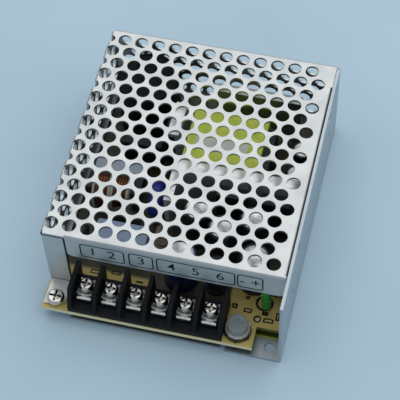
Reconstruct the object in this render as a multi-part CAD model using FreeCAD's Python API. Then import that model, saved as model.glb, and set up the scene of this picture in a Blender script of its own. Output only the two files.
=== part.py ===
import FreeCAD, Part
import math
import os

# Enclosed switching power supply in a folded perforated metal case.
# Millimetres, +Z up, origin at the middle of the footprint on the resting plane.
# +Y points away from the terminal end, +X to the right as seen from that end.

# Case
CASE_LENGTH = 99.0
CASE_WIDTH = 82.0
CASE_HEIGHT = 35.0
CHASSIS_SHEET = 1.0
COVER_SHEET = 0.8
BEND_INSIDE = 0.2
COVER_SETBACK = 11.0
COVER_SIDE_GAP = 0.3
REAR_EDGE_GAP = 0.15
PLAIN_EDGE_LENGTH = 10.0
SEAM = 0.15
COVER_FOOT = 0.3
UPSTAND_HEIGHT = 6.5

# Front lip, front panel and holding tab of the cover
LIP_HEIGHT = 11.2
LIP_CORNER = 2.4
PANEL_WIDTH = 8.0
PANEL_TOP_GAP = 0.3
TAB_REACH = 9.7
TAB_CHAMFER = 1.6
SIDE_FLANGE_HEIGHT = 6.6

# Perforation
HOLE_DIAMETER = 4.7
COLUMN_PITCH = 6.1
ROW_PITCH = 5.27
FIRST_COLUMN = 2.65
FIRST_ROW = 4.5
RIGHT_MARGIN = 4.4
BACK_MARGIN = 3.5
FOLD_HOLE_DROP = 1.5
FOLD_HOLE_TILT = 28.0
WALL_FIRST_HOLE = 4.0
WALL_FIRST_STAGGERED = 7.4
WALL_LAST_HOLE = 9.5
REAR_FIRST_HOLE = 4.0

# Chassis plate
FRONT_RECESS = 0.8
RELIEF_SLOT = 1.7
WIDE_PART_WIDTH = 19.0
CORNER_CUT_WIDTH = 9.8
EAR_LENGTH = 8.6
FIXING_HOLE_DIAMETER = 3.5
FIXING_HOLE_INSET_X = 4.8
FIXING_HOLE_INSET_Y = 4.3
SIDE_HOLE_DIAMETER = 2.5
SIDE_HOLE_SPACING = 65.0
SIDE_HOLE_HEIGHT = 17.5

# Fasteners
SCREW_DIAMETER = 2.9
SCREW_CLEARANCE = 0.05
BOARD_HOLE_PLAY = 0.2
BOARD_SCREW_HEAD = 6.0
BOARD_SCREW_HEAD_HEIGHT = 2.0
COVER_SCREW_HEAD = 5.6
COVER_SCREW_DROP = 4.3
COVER_SCREW_LENGTH = 4.6
COVER_SCREW_SPACING = 53.5
COVER_SCREW_SETBACK = 26.5
RECESS_WIDTH = 0.8
RECESS_DEPTH = 1.1

# Circuit board
BOARD_THICKNESS = 1.6
STANDOFF_HEIGHT = 3.5
STANDOFF_DIAMETER = 5.6
STANDOFF_INSET = 5.5
FILM_THICKNESS = 0.25
BOARD_PLAY = 0.35
NOTCH_WIDTH = 9.8
NOTCH_DEPTH = 8.1

# Terminal block
TERMINALS = 6
TERMINAL_PITCH = 8.5
FIRST_TERMINAL = 14.55
TERMINAL_SETBACK = 7.5
BARRIER_THICKNESS = 1.4
BLOCK_DEPTH = 14.1
BLOCK_FRONT_INSET = 0.2
BARRIER_HEIGHT = 9.9
BARRIER_SLOPE = 3.0
BLOCK_BASE_DEPTH = 12.0
BLOCK_FLOOR = 3.5
BLOCK_STEP = 2.0
BLOCK_REAR_WALL = 1.2
BLOCK_REAR_HEIGHT = 5.2
CONTACT_WIDTH = 4.8
CONTACT_THICKNESS = 0.8
CONTACT_REACH = 4.1
CONTACT_LENGTH = 7.0
CONTACT_LIP = 1.4
PIN_WIDTH = 1.2
PIN_REACH = 1.4
CLAMP_WIDTH = 5.0
CLAMP_LENGTH = 5.8
CLAMP_THICKNESS = 0.7
CLAMP_CORNER = 1.9
CLAMP_CORNER_RISE = 1.2
WASHER_DIAMETER = 4.8
WASHER_THICKNESS = 0.9
WASHER_SPLIT = 0.5
TERMINAL_HEAD = 5.0
TERMINAL_HEAD_HEIGHT = 2.2
TERMINAL_SCREW_LENGTH = 5.0

# Voltage trimmer
TRIMMER_SIDE_GAP = 0.3
TRIMMER_Y = 5.3
TRIMMER_BASE_DIAMETER = 8.2
TRIMMER_BASE_HEIGHT = 1.2
TRIMMER_CAP_DIAMETER = 7.2
TRIMMER_CAP_HEIGHT = 2.5
TRIMMER_SKIRT_HEIGHT = 1.4
TRIMMER_SKIRT_SIDES = 12
TRIMMER_AXLE_DIAMETER = 2.0
TRIMMER_CLEARANCE = 0.06
TRIMMER_RUNNING_GAP = 0.1

# Indicator lamp
LAMP_X = 73.9
LAMP_Y = 15.0
LAMP_DIAMETER = 2.9
LAMP_HEIGHT = 5.3
LAMP_FLANGE = 0.3
LAMP_LIFT = 2.6
LAMP_SLEEVE_DIAMETER = 3.2
LAMP_SLEEVE_HEIGHT = 5.8

# Round parts on the board
LEAD = 0.6
CAN_EDGE = 0.5
BULK_DIAMETER = 22.0
BULK_TOP_GAP = 4.0
BULK_INSET_X = 16.7
BULK_INSET_Y = 15.0
OUTPUT_CAN_DIAMETER = 10.0
OUTPUT_CAN_HEIGHT = 18.0
OUTPUT_CAN_GAP = 0.5
OUTPUT_CAN_STEP = 5.5
FILTER_DIAMETER = 11.4
FILTER_HEIGHT = 16.0
FILTER_GAP = 0.5
SMALL_CAN_DIAMETER = 8.0
SMALL_CAN_HEIGHT = 12.0
OUTPUT_CHOKE_DIAMETER = 8.4
OUTPUT_CHOKE_WAIST = 7.2
OUTPUT_CHOKE_HEIGHT = 12.0
OUTPUT_CHOKE_RIM = 1.6
FUSE_DIAMETER = 7.2
FUSE_HEIGHT = 8.0
FUSE_RING = 0.5
DISC_EDGE = 0.4
DISC_LIFT = 0.8
VARISTOR_DIAMETER = 8.4
VARISTOR_THICKNESS = 3.8
THERMISTOR_DIAMETER = 12.0
THERMISTOR_THICKNESS = 4.0
DISC_CAPACITOR_DIAMETER = 13.0
DISC_CAPACITOR_THICKNESS = 4.4

# Boxed parts, chips and resistors
X_CAPACITOR_LENGTH = 18.0
X_CAPACITOR_DEPTH = 8.0
X_CAPACITOR_HEIGHT = 10.6
X_CAPACITOR_EDGE = 0.8
BRIDGE_LENGTH = 14.4
BRIDGE_THICKNESS = 3.6
BRIDGE_LIFT = 1.6
BRIDGE_HEIGHT = 12.4
BRIDGE_GAP = 0.8
OPTOCOUPLER_SIZE = (4.6, 4.4, 3.6)
CONTROLLER_SIZE = (6.4, 9.6, 3.8)
CHIP_LEAD = 0.6
CHIP_LEAD_HEIGHT = 1.8
CHIP_LIFT = 0.5
RESISTOR_LENGTH = 9.2
SMALL_RESISTOR_LENGTH = 5.0
RESISTOR_SLIMNESS = 4.4
RESISTOR_LIFT = 0.3
RESISTOR_WIRE = 1.6

# Mains choke
CHOKE_COIL = 12.6
CHOKE_LEG = 4.6
CHOKE_LENGTH = 19.0
CHOKE_SIDE = 3.0
CHOKE_FOOT = 0.9
CHOKE_FIT = 0.1
CHOKE_BACK_LEG = 5.0
CHOKE_WIRE_DROP = 0.6
FLANGE_THICKNESS = 0.8
FLANGE_REAR = 1.1
SECTIONS = ((0.0, 0.46), (0.54, 1.0))

# Heatsinks and the power packages on them
SINK_SHEET = 1.5
SINK_TOP_GAP = 4.2
SINK_FOOT = 3.0
SINK_FLANGE = 4.0
REAR_SINK_DROP = 2.0
REAR_SINK_FLANGE = 3.4
PRIMARY_SINK_LENGTH = 14.0
WING_LENGTH = 13.0
WING_FLANGE = 2.8
PACKAGE_WIDTH = 10.0
PACKAGE_DEPTH = 4.4
PACKAGE_LIFT = 4.0
PACKAGE_HEIGHT = 15.0
PACKAGE_PITCH = 2.54
PACKAGE_LEAD_WIDTH = 0.8
PACKAGE_LEAD_INSET = 2.3

# Transformer
TRANSFORMER_TOP_GAP = 5.2
TRANSFORMER_GAP = 1.4
TRANSFORMER_ROUND = 2.0
CORE_OVERHANG = 3.0
CORE_DROP = 3.0
CORE_INSET = 1.5
BOBBIN_BASE = 4.0
BOBBIN_LIFT = 1.0
BOBBIN_INSET = 0.5
BOBBIN_PIN = 1.0
BOBBIN_PIN_INSET = 1.2
PIN_ROWS = 5

# Places inside the case, as shares of its width and of its length
FUSE_PLACE = (0.4341, 0.2919)
VARISTOR_PLACE = (0.0860, 0.2768)
THERMISTOR_PLACE = (0.2427, 0.3535)
X_CAPACITOR_PLACE = (0.2610, 0.2788)
CHOKE_PLACE = (0.1634, 0.4667)
DISC_CAPACITOR_PLACE = (0.3573, 0.4566)
BRIDGE_PLACE_Y = 0.6444
PRIMARY_SINK_PLACE = (0.4049, 0.6929)
REAR_SINK_PLACE = (0.5, 0.8566)
REAR_SINK_END = 0.8683
SECONDARY_SINK_PLACE = (0.4232, 0.4848)
SECONDARY_SINK_END = 0.9463
DIODE_PLACES_X = (0.6768, 0.8598)
TRANSFORMER_END = (0.7951, 0.7657)
OUTPUT_CAN_PLACES_X = (0.5561, 0.7902, 0.6732)
FRONT_CAN_PLACE = (0.8293, 0.2424)
FILTER_PLACE_X = 0.5317
OUTPUT_CHOKE_PLACE = (0.6829, 0.2101)
SMALL_CAN_PLACES = ((0.9073, 0.7434), (0.9049, 0.6364))
OPTOCOUPLER_PLACE = (0.9415, 0.2275)
CONTROLLER_PLACE = (0.5585, 0.8141)
REAR_RESISTOR_PLACES = ((0.4073, 0.8626), (0.6098, 0.9354))
SIDE_RESISTOR_PLACE = (0.9463, 0.3434)
SMALL_RESISTOR_PLACE = (0.3854, 0.3586)

LEFT = -CASE_WIDTH / 2
RIGHT = CASE_WIDTH / 2
FRONT = -CASE_LENGTH / 2
BACK = CASE_LENGTH / 2
TOP = CASE_HEIGHT
LID_UNDER = TOP - COVER_SHEET
COVER_BEND = BEND_INSIDE + COVER_SHEET
CHASSIS_BEND = BEND_INSIDE + CHASSIS_SHEET
COVER_FRONT = FRONT + COVER_SETBACK
COVER_RIGHT = RIGHT - CHASSIS_SHEET - COVER_SIDE_GAP
COVER_RIGHT_REAR = RIGHT - CHASSIS_SHEET - REAR_EDGE_GAP
LIP_LEFT = LEFT + PANEL_WIDTH + SEAM
REAR_LEFT = LEFT + COVER_SHEET + SEAM
BOARD_BOTTOM = CHASSIS_SHEET + STANDOFF_HEIGHT
BOARD_TOP = BOARD_BOTTOM + BOARD_THICKNESS
BOARD_LEFT = LEFT + COVER_SHEET + CHASSIS_SHEET + BOARD_PLAY
BOARD_RIGHT = RIGHT - CHASSIS_SHEET - BOARD_PLAY
BOARD_BACK = BACK - COVER_SHEET - CHASSIS_SHEET - BOARD_PLAY
SCREW_RADIUS = SCREW_DIAMETER / 2
THREAD_RADIUS = SCREW_RADIUS + SCREW_CLEARANCE
SINK_TOP = LID_UNDER - SINK_TOP_GAP
UP = FreeCAD.Vector(0, 0, 1)
ALONG_X = FreeCAD.Vector(1, 0, 0)
ALONG_Y = FreeCAD.Vector(0, 1, 0)

TAB_SCREW = (LEFT + PANEL_WIDTH / 2 + 0.6, COVER_FRONT - TAB_REACH + 2.3)
REAR_SCREWS = [
    (LEFT + STANDOFF_INSET, BACK - STANDOFF_INSET),
    (RIGHT - STANDOFF_INSET, BACK - STANDOFF_INSET),
]
BOARD_SUPPORTS = REAR_SCREWS + [(RIGHT - STANDOFF_INSET, COVER_FRONT + STANDOFF_INSET)]


def box(x0, x1, y0, y1, z0, z1):
    """Block between two corners."""
    return Part.makeBox(x1 - x0, y1 - y0, z1 - z0, FreeCAD.Vector(x0, y0, z0))


def rod(radius, x, y, z0, z1):
    """Upright cylinder."""
    return Part.makeCylinder(radius, z1 - z0, FreeCAD.Vector(x, y, z0), UP)


def rod_x(radius, x0, x1, y, z):
    """Cylinder lying along X."""
    return Part.makeCylinder(radius, x1 - x0, FreeCAD.Vector(x0, y, z), ALONG_X)


def rod_y(radius, x, y0, y1, z):
    """Cylinder lying along Y."""
    return Part.makeCylinder(radius, y1 - y0, FreeCAD.Vector(x, y0, z), ALONG_Y)


def prism(points, direction):
    """Straight extrusion of a closed outline."""
    outline = Part.makePolygon([FreeCAD.Vector(*p) for p in points + points[:1]])
    return Part.Face(outline).extrude(FreeCAD.Vector(*direction))


def join(shapes):
    """One solid from pieces that touch."""
    return shapes[0].multiFuse(shapes[1:]).removeSplitter()


def from_left(x):
    """Place measured from the case's left side."""
    return LEFT + x


def from_front(y):
    """Place measured from the case's front edge."""
    return FRONT + y


def across(share):
    """Place at a share of the case's width, so that inner parts spread with it."""
    return LEFT + share * CASE_WIDTH


def along(share):
    """Place at a share of the case's length, from the front edge."""
    return FRONT + share * CASE_LENGTH


def spot(place):
    """Point on the board from its shares of the width and of the length."""
    return across(place[0]), along(place[1])


def fold_y(x, z, side_x, side_z, y0, y1, sheet):
    """Quarter-round fold along Y about an axis, on the side that two signs give."""
    ring = rod_y(BEND_INSIDE + sheet, x, y0, y1, z).cut(rod_y(BEND_INSIDE, x, y0, y1, z))
    reach = BEND_INSIDE + sheet
    corner = box(min(x, x + side_x * reach), max(x, x + side_x * reach), y0, y1,
                 min(z, z + side_z * reach), max(z, z + side_z * reach))
    return ring.common(corner)


def fold_x(y, z, side_y, side_z, x0, x1, sheet):
    """Quarter-round fold along X."""
    ring = rod_x(BEND_INSIDE + sheet, x0, x1, y, z).cut(rod_x(BEND_INSIDE, x0, x1, y, z))
    reach = BEND_INSIDE + sheet
    corner = box(x0, x1, min(y, y + side_y * reach), max(y, y + side_y * reach),
                 min(z, z + side_z * reach), max(z, z + side_z * reach))
    return ring.common(corner)


def fold_z(x, y, side_x, side_y, z0, z1, sheet):
    """Quarter-round upright fold."""
    ring = rod(BEND_INSIDE + sheet, x, y, z0, z1).cut(rod(BEND_INSIDE, x, y, z0, z1))
    reach = BEND_INSIDE + sheet
    corner = box(min(x, x + side_x * reach), max(x, x + side_x * reach),
                 min(y, y + side_y * reach), max(y, y + side_y * reach), z0, z1)
    return ring.common(corner)


def hole(x, y, z, direction):
    """Cutter for one hole of the perforation, centred on the sheet's outer face."""
    start = FreeCAD.Vector(x, y, z) - direction * HOLE_DIAMETER / 2
    return Part.makeCylinder(HOLE_DIAMETER / 2, HOLE_DIAMETER, start, direction)


def row_places():
    """Row positions of the perforation along the case."""
    span = CASE_LENGTH - COVER_SETBACK - FIRST_ROW - BACK_MARGIN
    count = 1 + int(span / ROW_PITCH)
    return [COVER_FRONT + FIRST_ROW + i * ROW_PITCH for i in range(count)]


def column_places(staggered):
    """Column positions of one row; every other row is shifted by half a pitch."""
    first = FIRST_COLUMN + (COLUMN_PITCH / 2 if staggered else 0.0)
    span = COVER_RIGHT - LEFT - first - RIGHT_MARGIN
    count = 1 + int(span / COLUMN_PITCH)
    return [LEFT + first + i * COLUMN_PITCH for i in range(count)]


def wall_heights(staggered):
    """Heights of the left wall's holes, counted down from the top."""
    drop = WALL_FIRST_STAGGERED if staggered else WALL_FIRST_HOLE
    heights = []
    while TOP - drop >= WALL_LAST_HOLE:
        heights.append(TOP - drop)
        drop += COLUMN_PITCH
    return heights


def cover_top():
    """Top of the cover between its folds, wider over its plain stretch at the back."""
    return prism([
        (LEFT + COVER_BEND, COVER_FRONT, LID_UNDER),
        (LIP_LEFT, COVER_FRONT, LID_UNDER),
        (LIP_LEFT, COVER_FRONT + COVER_BEND, LID_UNDER),
        (COVER_RIGHT - COVER_BEND, COVER_FRONT + COVER_BEND, LID_UNDER),
        (COVER_RIGHT - COVER_BEND, BACK - PLAIN_EDGE_LENGTH, LID_UNDER),
        (COVER_RIGHT_REAR, BACK - PLAIN_EDGE_LENGTH, LID_UNDER),
        (COVER_RIGHT_REAR, BACK - COVER_BEND, LID_UNDER),
        (LEFT + COVER_BEND, BACK - COVER_BEND, LID_UNDER),
    ], (0, 0, COVER_SHEET))


def cover_left_wall():
    """Left wall with the fold that joins it to the top."""
    start = COVER_FRONT + COVER_BEND
    wall = box(LEFT, LEFT + COVER_SHEET, start, BACK, COVER_FOOT, TOP - COVER_BEND)
    fold = fold_y(LEFT + COVER_BEND, TOP - COVER_BEND, -1, 1, start, BACK - COVER_BEND, COVER_SHEET)
    return [wall, fold]


def cover_rear_wall():
    """Rear wall with its fold, standing clear of the left wall by a seam."""
    wall = box(REAR_LEFT, COVER_RIGHT_REAR, BACK - COVER_SHEET, BACK, COVER_FOOT, TOP - COVER_BEND)
    fold = fold_x(BACK - COVER_BEND, TOP - COVER_BEND, 1, 1,
                  LEFT + COVER_BEND, COVER_RIGHT_REAR, COVER_SHEET)
    return [wall, fold]


def top_holes():
    """Holes of the top, and those that every other row has on the fold itself."""
    tilt = math.radians(FOLD_HOLE_TILT)
    inward = FreeCAD.Vector(math.cos(tilt), 0, -math.sin(tilt))
    cutters = []
    for i, y in enumerate(row_places()):
        staggered = i % 2 == 1
        cutters += [Part.makeCylinder(HOLE_DIAMETER / 2, 2 * COVER_BEND,
                                      FreeCAD.Vector(x, y, TOP - COVER_BEND), UP)
                    for x in column_places(staggered)]
        if staggered:
            cutters.append(hole(LEFT, y, TOP - FOLD_HOLE_DROP, inward))
    return cutters


def wall_holes():
    """Holes of the left wall, in line with the rows of the top."""
    return [hole(LEFT, y, z, ALONG_X)
            for i, y in enumerate(row_places()) for z in wall_heights(i % 2 == 1)]


def rear_holes():
    """Holes of the rear wall, carrying the top's pattern on downwards."""
    cutters = []
    height = TOP - REAR_FIRST_HOLE
    i = len(row_places()) - 1
    while height >= WALL_LAST_HOLE:
        cutters += [hole(x, BACK, height, ALONG_Y) for x in column_places(i % 2 == 1)
                    if x - HOLE_DIAMETER / 2 > REAR_LEFT + SEAM]
        height -= ROW_PITCH
        i += 1
    return cutters


def cover_lip():
    """Plain lip folded down along the front edge, with its lower corners rounded."""
    low = TOP - LIP_HEIGHT
    high = TOP - COVER_BEND
    plate = box(LIP_LEFT, COVER_RIGHT, COVER_FRONT, COVER_FRONT + COVER_SHEET, low, high)
    corners = [e for e in plate.Edges
               if abs(e.BoundBox.ZMin - low) < 1e-6 and e.BoundBox.ZLength < 1e-6
               and e.BoundBox.XLength < 1e-6]
    plate = plate.makeFillet(LIP_CORNER, corners)
    fold = fold_x(COVER_FRONT + COVER_BEND, high, -1, 1, LIP_LEFT, COVER_RIGHT, COVER_SHEET)
    return [plate, fold]


def cover_side_flange():
    """Strip folded down inside the chassis wall, which the side screws hold."""
    start = COVER_FRONT + COVER_BEND
    end = BACK - PLAIN_EDGE_LENGTH
    plate = box(COVER_RIGHT - COVER_SHEET, COVER_RIGHT, start, end,
                TOP - SIDE_FLANGE_HEIGHT, TOP - COVER_BEND)
    for y in cover_screw_places():
        plate = plate.cut(rod_x(THREAD_RADIUS, COVER_RIGHT - CASE_WIDTH / 4, RIGHT, y,
                                TOP - COVER_SCREW_DROP))
    fold = fold_y(COVER_RIGHT - COVER_BEND, TOP - COVER_BEND, 1, 1, start, end, COVER_SHEET)
    return [plate, fold]


def cover_panel():
    """Front panel left of the lip, and the tab at its foot that lies on the board."""
    foot = BOARD_TOP + COVER_BEND
    right = LEFT + PANEL_WIDTH
    left = LEFT + COVER_BEND
    panel = box(left, right, COVER_FRONT, COVER_FRONT + COVER_SHEET, foot,
                LID_UNDER - PANEL_TOP_GAP)
    corner = fold_z(left, COVER_FRONT + COVER_BEND, -1, -1, foot,
                    LID_UNDER - PANEL_TOP_GAP, COVER_SHEET)
    fold = fold_x(COVER_FRONT - BEND_INSIDE, foot, 1, -1, left, right, COVER_SHEET)
    tab_front = COVER_FRONT - TAB_REACH
    tab = prism([
        (left, tab_front, BOARD_TOP),
        (right - TAB_CHAMFER, tab_front, BOARD_TOP),
        (right, tab_front + TAB_CHAMFER, BOARD_TOP),
        (right, COVER_FRONT - BEND_INSIDE, BOARD_TOP),
        (left, COVER_FRONT - BEND_INSIDE, BOARD_TOP),
    ], (0, 0, COVER_SHEET))
    x, y = TAB_SCREW
    hole = rod(SCREW_RADIUS + BOARD_HOLE_PLAY, x, y, BOARD_TOP - COVER_SHEET,
               BOARD_TOP + 2 * COVER_SHEET)
    return [panel, corner, fold, tab.cut(hole)]


def cover_screw_places():
    """Where the two side screws hold the cover to the chassis wall."""
    first = from_front(COVER_SCREW_SETBACK)
    return [first, first + COVER_SCREW_SPACING]


def cover():
    """Perforated cover, folded from one sheet."""
    shape = join([cover_top()] + cover_left_wall() + cover_rear_wall() + cover_lip()
                 + cover_side_flange() + cover_panel())
    return shape.cut(Part.makeCompound(top_holes() + wall_holes() + rear_holes()))


def chassis_plate():
    """Bottom plate with its recessed front, relief slot and corner cut."""
    step = RIGHT - WIDE_PART_WIDTH
    cut_y = FRONT + EAR_LENGTH
    inner_left = LEFT + COVER_SHEET + CHASSIS_BEND
    inner_back = BACK - COVER_SHEET - CHASSIS_BEND
    return prism([
        (inner_left, cut_y, 0),
        (LEFT + CORNER_CUT_WIDTH, cut_y, 0),
        (LEFT + CORNER_CUT_WIDTH, FRONT + FRONT_RECESS, 0),
        (step - RELIEF_SLOT, FRONT + FRONT_RECESS, 0),
        (step - RELIEF_SLOT, FRONT + FRONT_RECESS + RELIEF_SLOT, 0),
        (step, FRONT + FRONT_RECESS + RELIEF_SLOT, 0),
        (step, FRONT, 0),
        (RIGHT - CHASSIS_BEND, FRONT, 0),
        (RIGHT - CHASSIS_BEND, inner_back, 0),
        (inner_left, inner_back, 0),
    ], (0, 0, CHASSIS_SHEET))


def chassis_ear():
    """Raised ear at the front left corner, threaded for the tab screw."""
    rear = FRONT + EAR_LENGTH
    left = LEFT + COVER_SHEET + CHASSIS_BEND
    right = LEFT + CORNER_CUT_WIDTH
    riser = box(left, right, rear - CHASSIS_SHEET, rear, 0, BOARD_BOTTOM)
    shelf = box(left, right, FRONT + FRONT_RECESS, rear, BOARD_BOTTOM - CHASSIS_SHEET, BOARD_BOTTOM)
    x, y = TAB_SCREW
    hole = rod(THREAD_RADIUS, x, y, 0, BOARD_TOP)
    return [riser, shelf.cut(hole)]


def chassis():
    """Bottom plate with the right wall and low upstands at the left and back."""
    bend = CHASSIS_BEND
    wall = box(RIGHT - CHASSIS_SHEET, RIGHT, FRONT, BACK, bend, TOP)
    top_back = [e for e in wall.Edges if abs(e.BoundBox.YMin - BACK) < 1e-6
                and abs(e.BoundBox.ZMin - TOP) < 1e-6]
    wall = wall.makeFillet(2.0, top_back)
    left_in = LEFT + COVER_SHEET
    back_in = BACK - COVER_SHEET
    left_start = COVER_FRONT + COVER_BEND
    pieces = [
        chassis_plate(),
        wall,
        fold_y(RIGHT - bend, bend, 1, -1, FRONT, BACK - COVER_SHEET - bend, CHASSIS_SHEET),
        box(left_in, left_in + CHASSIS_SHEET, left_start, back_in - bend, bend, UPSTAND_HEIGHT),
        fold_y(left_in + bend, bend, -1, -1, left_start, back_in - bend, CHASSIS_SHEET),
        box(left_in + bend, RIGHT - bend, back_in - CHASSIS_SHEET, back_in, bend, UPSTAND_HEIGHT),
        fold_x(back_in - bend, bend, 1, -1, left_in + bend, RIGHT - bend, CHASSIS_SHEET),
    ] + chassis_ear()
    shape = join(pieces)
    cuts = [rod(FIXING_HOLE_DIAMETER / 2, RIGHT - FIXING_HOLE_INSET_X,
                FRONT + FIXING_HOLE_INSET_Y, -CHASSIS_SHEET, 2 * CHASSIS_SHEET)]
    for side in (-1, 1):
        cuts.append(rod_x(SIDE_HOLE_DIAMETER / 2, RIGHT - 2 * CHASSIS_SHEET, RIGHT + CHASSIS_SHEET,
                          side * SIDE_HOLE_SPACING / 2, SIDE_HOLE_HEIGHT))
    for y in cover_screw_places():
        cuts.append(countersunk_screw(y, SCREW_CLEARANCE))
    return shape.cut(Part.makeCompound(cuts))


def countersunk_screw(y, extra):
    """Flush screw through the right wall; extra grows it to cut its hole."""
    z = TOP - COVER_SCREW_DROP
    head = Part.makeCone(SCREW_RADIUS + extra, COVER_SCREW_HEAD / 2 + extra, CHASSIS_SHEET,
                         FreeCAD.Vector(RIGHT - CHASSIS_SHEET, y, z), ALONG_X)
    shaft = rod_x(SCREW_RADIUS + extra, RIGHT - COVER_SCREW_LENGTH, RIGHT - CHASSIS_SHEET, y, z)
    return join([head, shaft])


def cross_recess(x, y, top, size):
    """Cutter for a cross recess in a screw head."""
    half = RECESS_WIDTH / 2
    one = box(x - size / 2, x + size / 2, y - half, y + half, top - RECESS_DEPTH, top + 1)
    two = box(x - half, x + half, y - size / 2, y + size / 2, top - RECESS_DEPTH, top + 1)
    return one.fuse(two)


def pan_screw(x, y, seat, head, head_height, length):
    """Pan-head screw standing on a seat, with a cross recess."""
    cap = rod(head / 2, x, y, seat, seat + head_height)
    rim = [e for e in cap.Edges if abs(e.BoundBox.ZMin - seat - head_height) < 1e-6
           and e.BoundBox.ZLength < 1e-6]
    cap = cap.makeFillet(head_height * 0.55, rim)
    shape = join([cap, rod(SCREW_RADIUS, x, y, seat - length, seat)])
    return shape.cut(cross_recess(x, y, seat + head_height, head * 0.68))


def cover_side_screws():
    """Two countersunk screws, flush with the right wall."""
    screws = []
    for y in cover_screw_places():
        screw = countersunk_screw(y, 0.0)
        z = TOP - COVER_SCREW_DROP
        half = RECESS_WIDTH / 2
        reach = COVER_SCREW_HEAD * 0.33
        screw = screw.cut(box(RIGHT - RECESS_DEPTH, RIGHT + 1, y - half, y + half, z - reach, z + reach))
        screw = screw.cut(box(RIGHT - RECESS_DEPTH, RIGHT + 1, y - reach, y + reach, z - half, z + half))
        screws.append(screw)
    return Part.makeCompound(screws)


def board_screws():
    """Screw through the cover's tab, and two that hold the board's back corners."""
    x, y = TAB_SCREW
    length = COVER_SHEET + BOARD_THICKNESS + CHASSIS_SHEET
    screws = [pan_screw(x, y, BOARD_TOP + COVER_SHEET, BOARD_SCREW_HEAD, BOARD_SCREW_HEAD_HEIGHT, length)]
    length = BOARD_THICKNESS + STANDOFF_HEIGHT
    for x, y in REAR_SCREWS:
        screws.append(pan_screw(x, y, BOARD_TOP, BOARD_SCREW_HEAD, BOARD_SCREW_HEAD_HEIGHT, length))
    return Part.makeCompound(screws)


def board_standoffs():
    """Riveted pillars under the board."""
    pillars = []
    for x, y in BOARD_SUPPORTS:
        pillar = rod(STANDOFF_DIAMETER / 2, x, y, CHASSIS_SHEET, BOARD_BOTTOM)
        pillars.append(pillar.cut(rod(THREAD_RADIUS, x, y, CHASSIS_SHEET, BOARD_BOTTOM)))
    return Part.makeCompound(pillars)


def insulating_film():
    """Film on the chassis plate, cut out round the pillars."""
    front = FRONT + EAR_LENGTH + BOARD_PLAY
    sheet = prism([
        (BOARD_LEFT + BEND_INSIDE, front, CHASSIS_SHEET),
        (RIGHT - NOTCH_WIDTH - 2.5, front, CHASSIS_SHEET),
        (RIGHT - NOTCH_WIDTH - 2.5, FRONT + NOTCH_DEPTH - 0.6, CHASSIS_SHEET),
        (BOARD_RIGHT - CHASSIS_BEND, FRONT + NOTCH_DEPTH - 0.6, CHASSIS_SHEET),
        (BOARD_RIGHT - CHASSIS_BEND, BOARD_BACK - CHASSIS_BEND, CHASSIS_SHEET),
        (BOARD_LEFT + BEND_INSIDE, BOARD_BACK - CHASSIS_BEND, CHASSIS_SHEET),
    ], (0, 0, FILM_THICKNESS))
    holes = [rod(STANDOFF_DIAMETER / 2 + BOARD_PLAY, x, y, 0, BOARD_BOTTOM) for x, y in BOARD_SUPPORTS]
    return sheet.cut(Part.makeCompound(holes))


def circuit_board():
    """Board with its front left corner under the tab and a notch over the fixing hole."""
    tab_left = LEFT + BOARD_PLAY
    shoulder = COVER_FRONT - BOARD_PLAY
    shape = prism([
        (tab_left, FRONT, BOARD_BOTTOM),
        (RIGHT - NOTCH_WIDTH, FRONT, BOARD_BOTTOM),
        (RIGHT - NOTCH_WIDTH, FRONT + NOTCH_DEPTH, BOARD_BOTTOM),
        (BOARD_RIGHT, FRONT + NOTCH_DEPTH, BOARD_BOTTOM),
        (BOARD_RIGHT, BOARD_BACK, BOARD_BOTTOM),
        (BOARD_LEFT, BOARD_BACK, BOARD_BOTTOM),
        (BOARD_LEFT, shoulder, BOARD_BOTTOM),
        (tab_left, shoulder, BOARD_BOTTOM),
    ], (0, 0, BOARD_THICKNESS))
    holes = [rod(SCREW_RADIUS + BOARD_HOLE_PLAY, x, y, 0, BOARD_TOP + 1)
             for x, y in REAR_SCREWS + [TAB_SCREW]]
    holes += [contact_pin(x, SCREW_CLEARANCE) for x in terminal_places()]
    return shape.cut(Part.makeCompound(holes))


def terminal_places():
    """Middle of each terminal."""
    return [from_left(FIRST_TERMINAL) + i * TERMINAL_PITCH for i in range(TERMINALS)]


TERMINAL_Y = from_front(TERMINAL_SETBACK)
BLOCK_LEFT = from_left(FIRST_TERMINAL) - TERMINAL_PITCH / 2
BLOCK_RIGHT = BLOCK_LEFT + TERMINALS * TERMINAL_PITCH
BLOCK_FRONT = from_front(BLOCK_FRONT_INSET)
BLOCK_BACK = BLOCK_FRONT + BLOCK_DEPTH
BASE_BACK = BLOCK_FRONT + BLOCK_BASE_DEPTH
CONTACT_SEAT = BOARD_TOP + BLOCK_FLOOR
CLAMP_SEAT = CONTACT_SEAT + CONTACT_THICKNESS
WASHER_SEAT = CLAMP_SEAT + CLAMP_THICKNESS
HEAD_SEAT = WASHER_SEAT + WASHER_THICKNESS
CONTACT_FRONT = TERMINAL_Y - CONTACT_REACH
CONTACT_BACK = CONTACT_FRONT + CONTACT_LENGTH


def contact_pin(x, extra):
    """Pin that runs from a contact through the block and the board."""
    half = PIN_WIDTH / 2 + extra
    return box(x - half, x + half, CONTACT_BACK - CONTACT_THICKNESS - extra, CONTACT_BACK + extra,
               BOARD_BOTTOM - PIN_REACH, CONTACT_SEAT)


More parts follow.
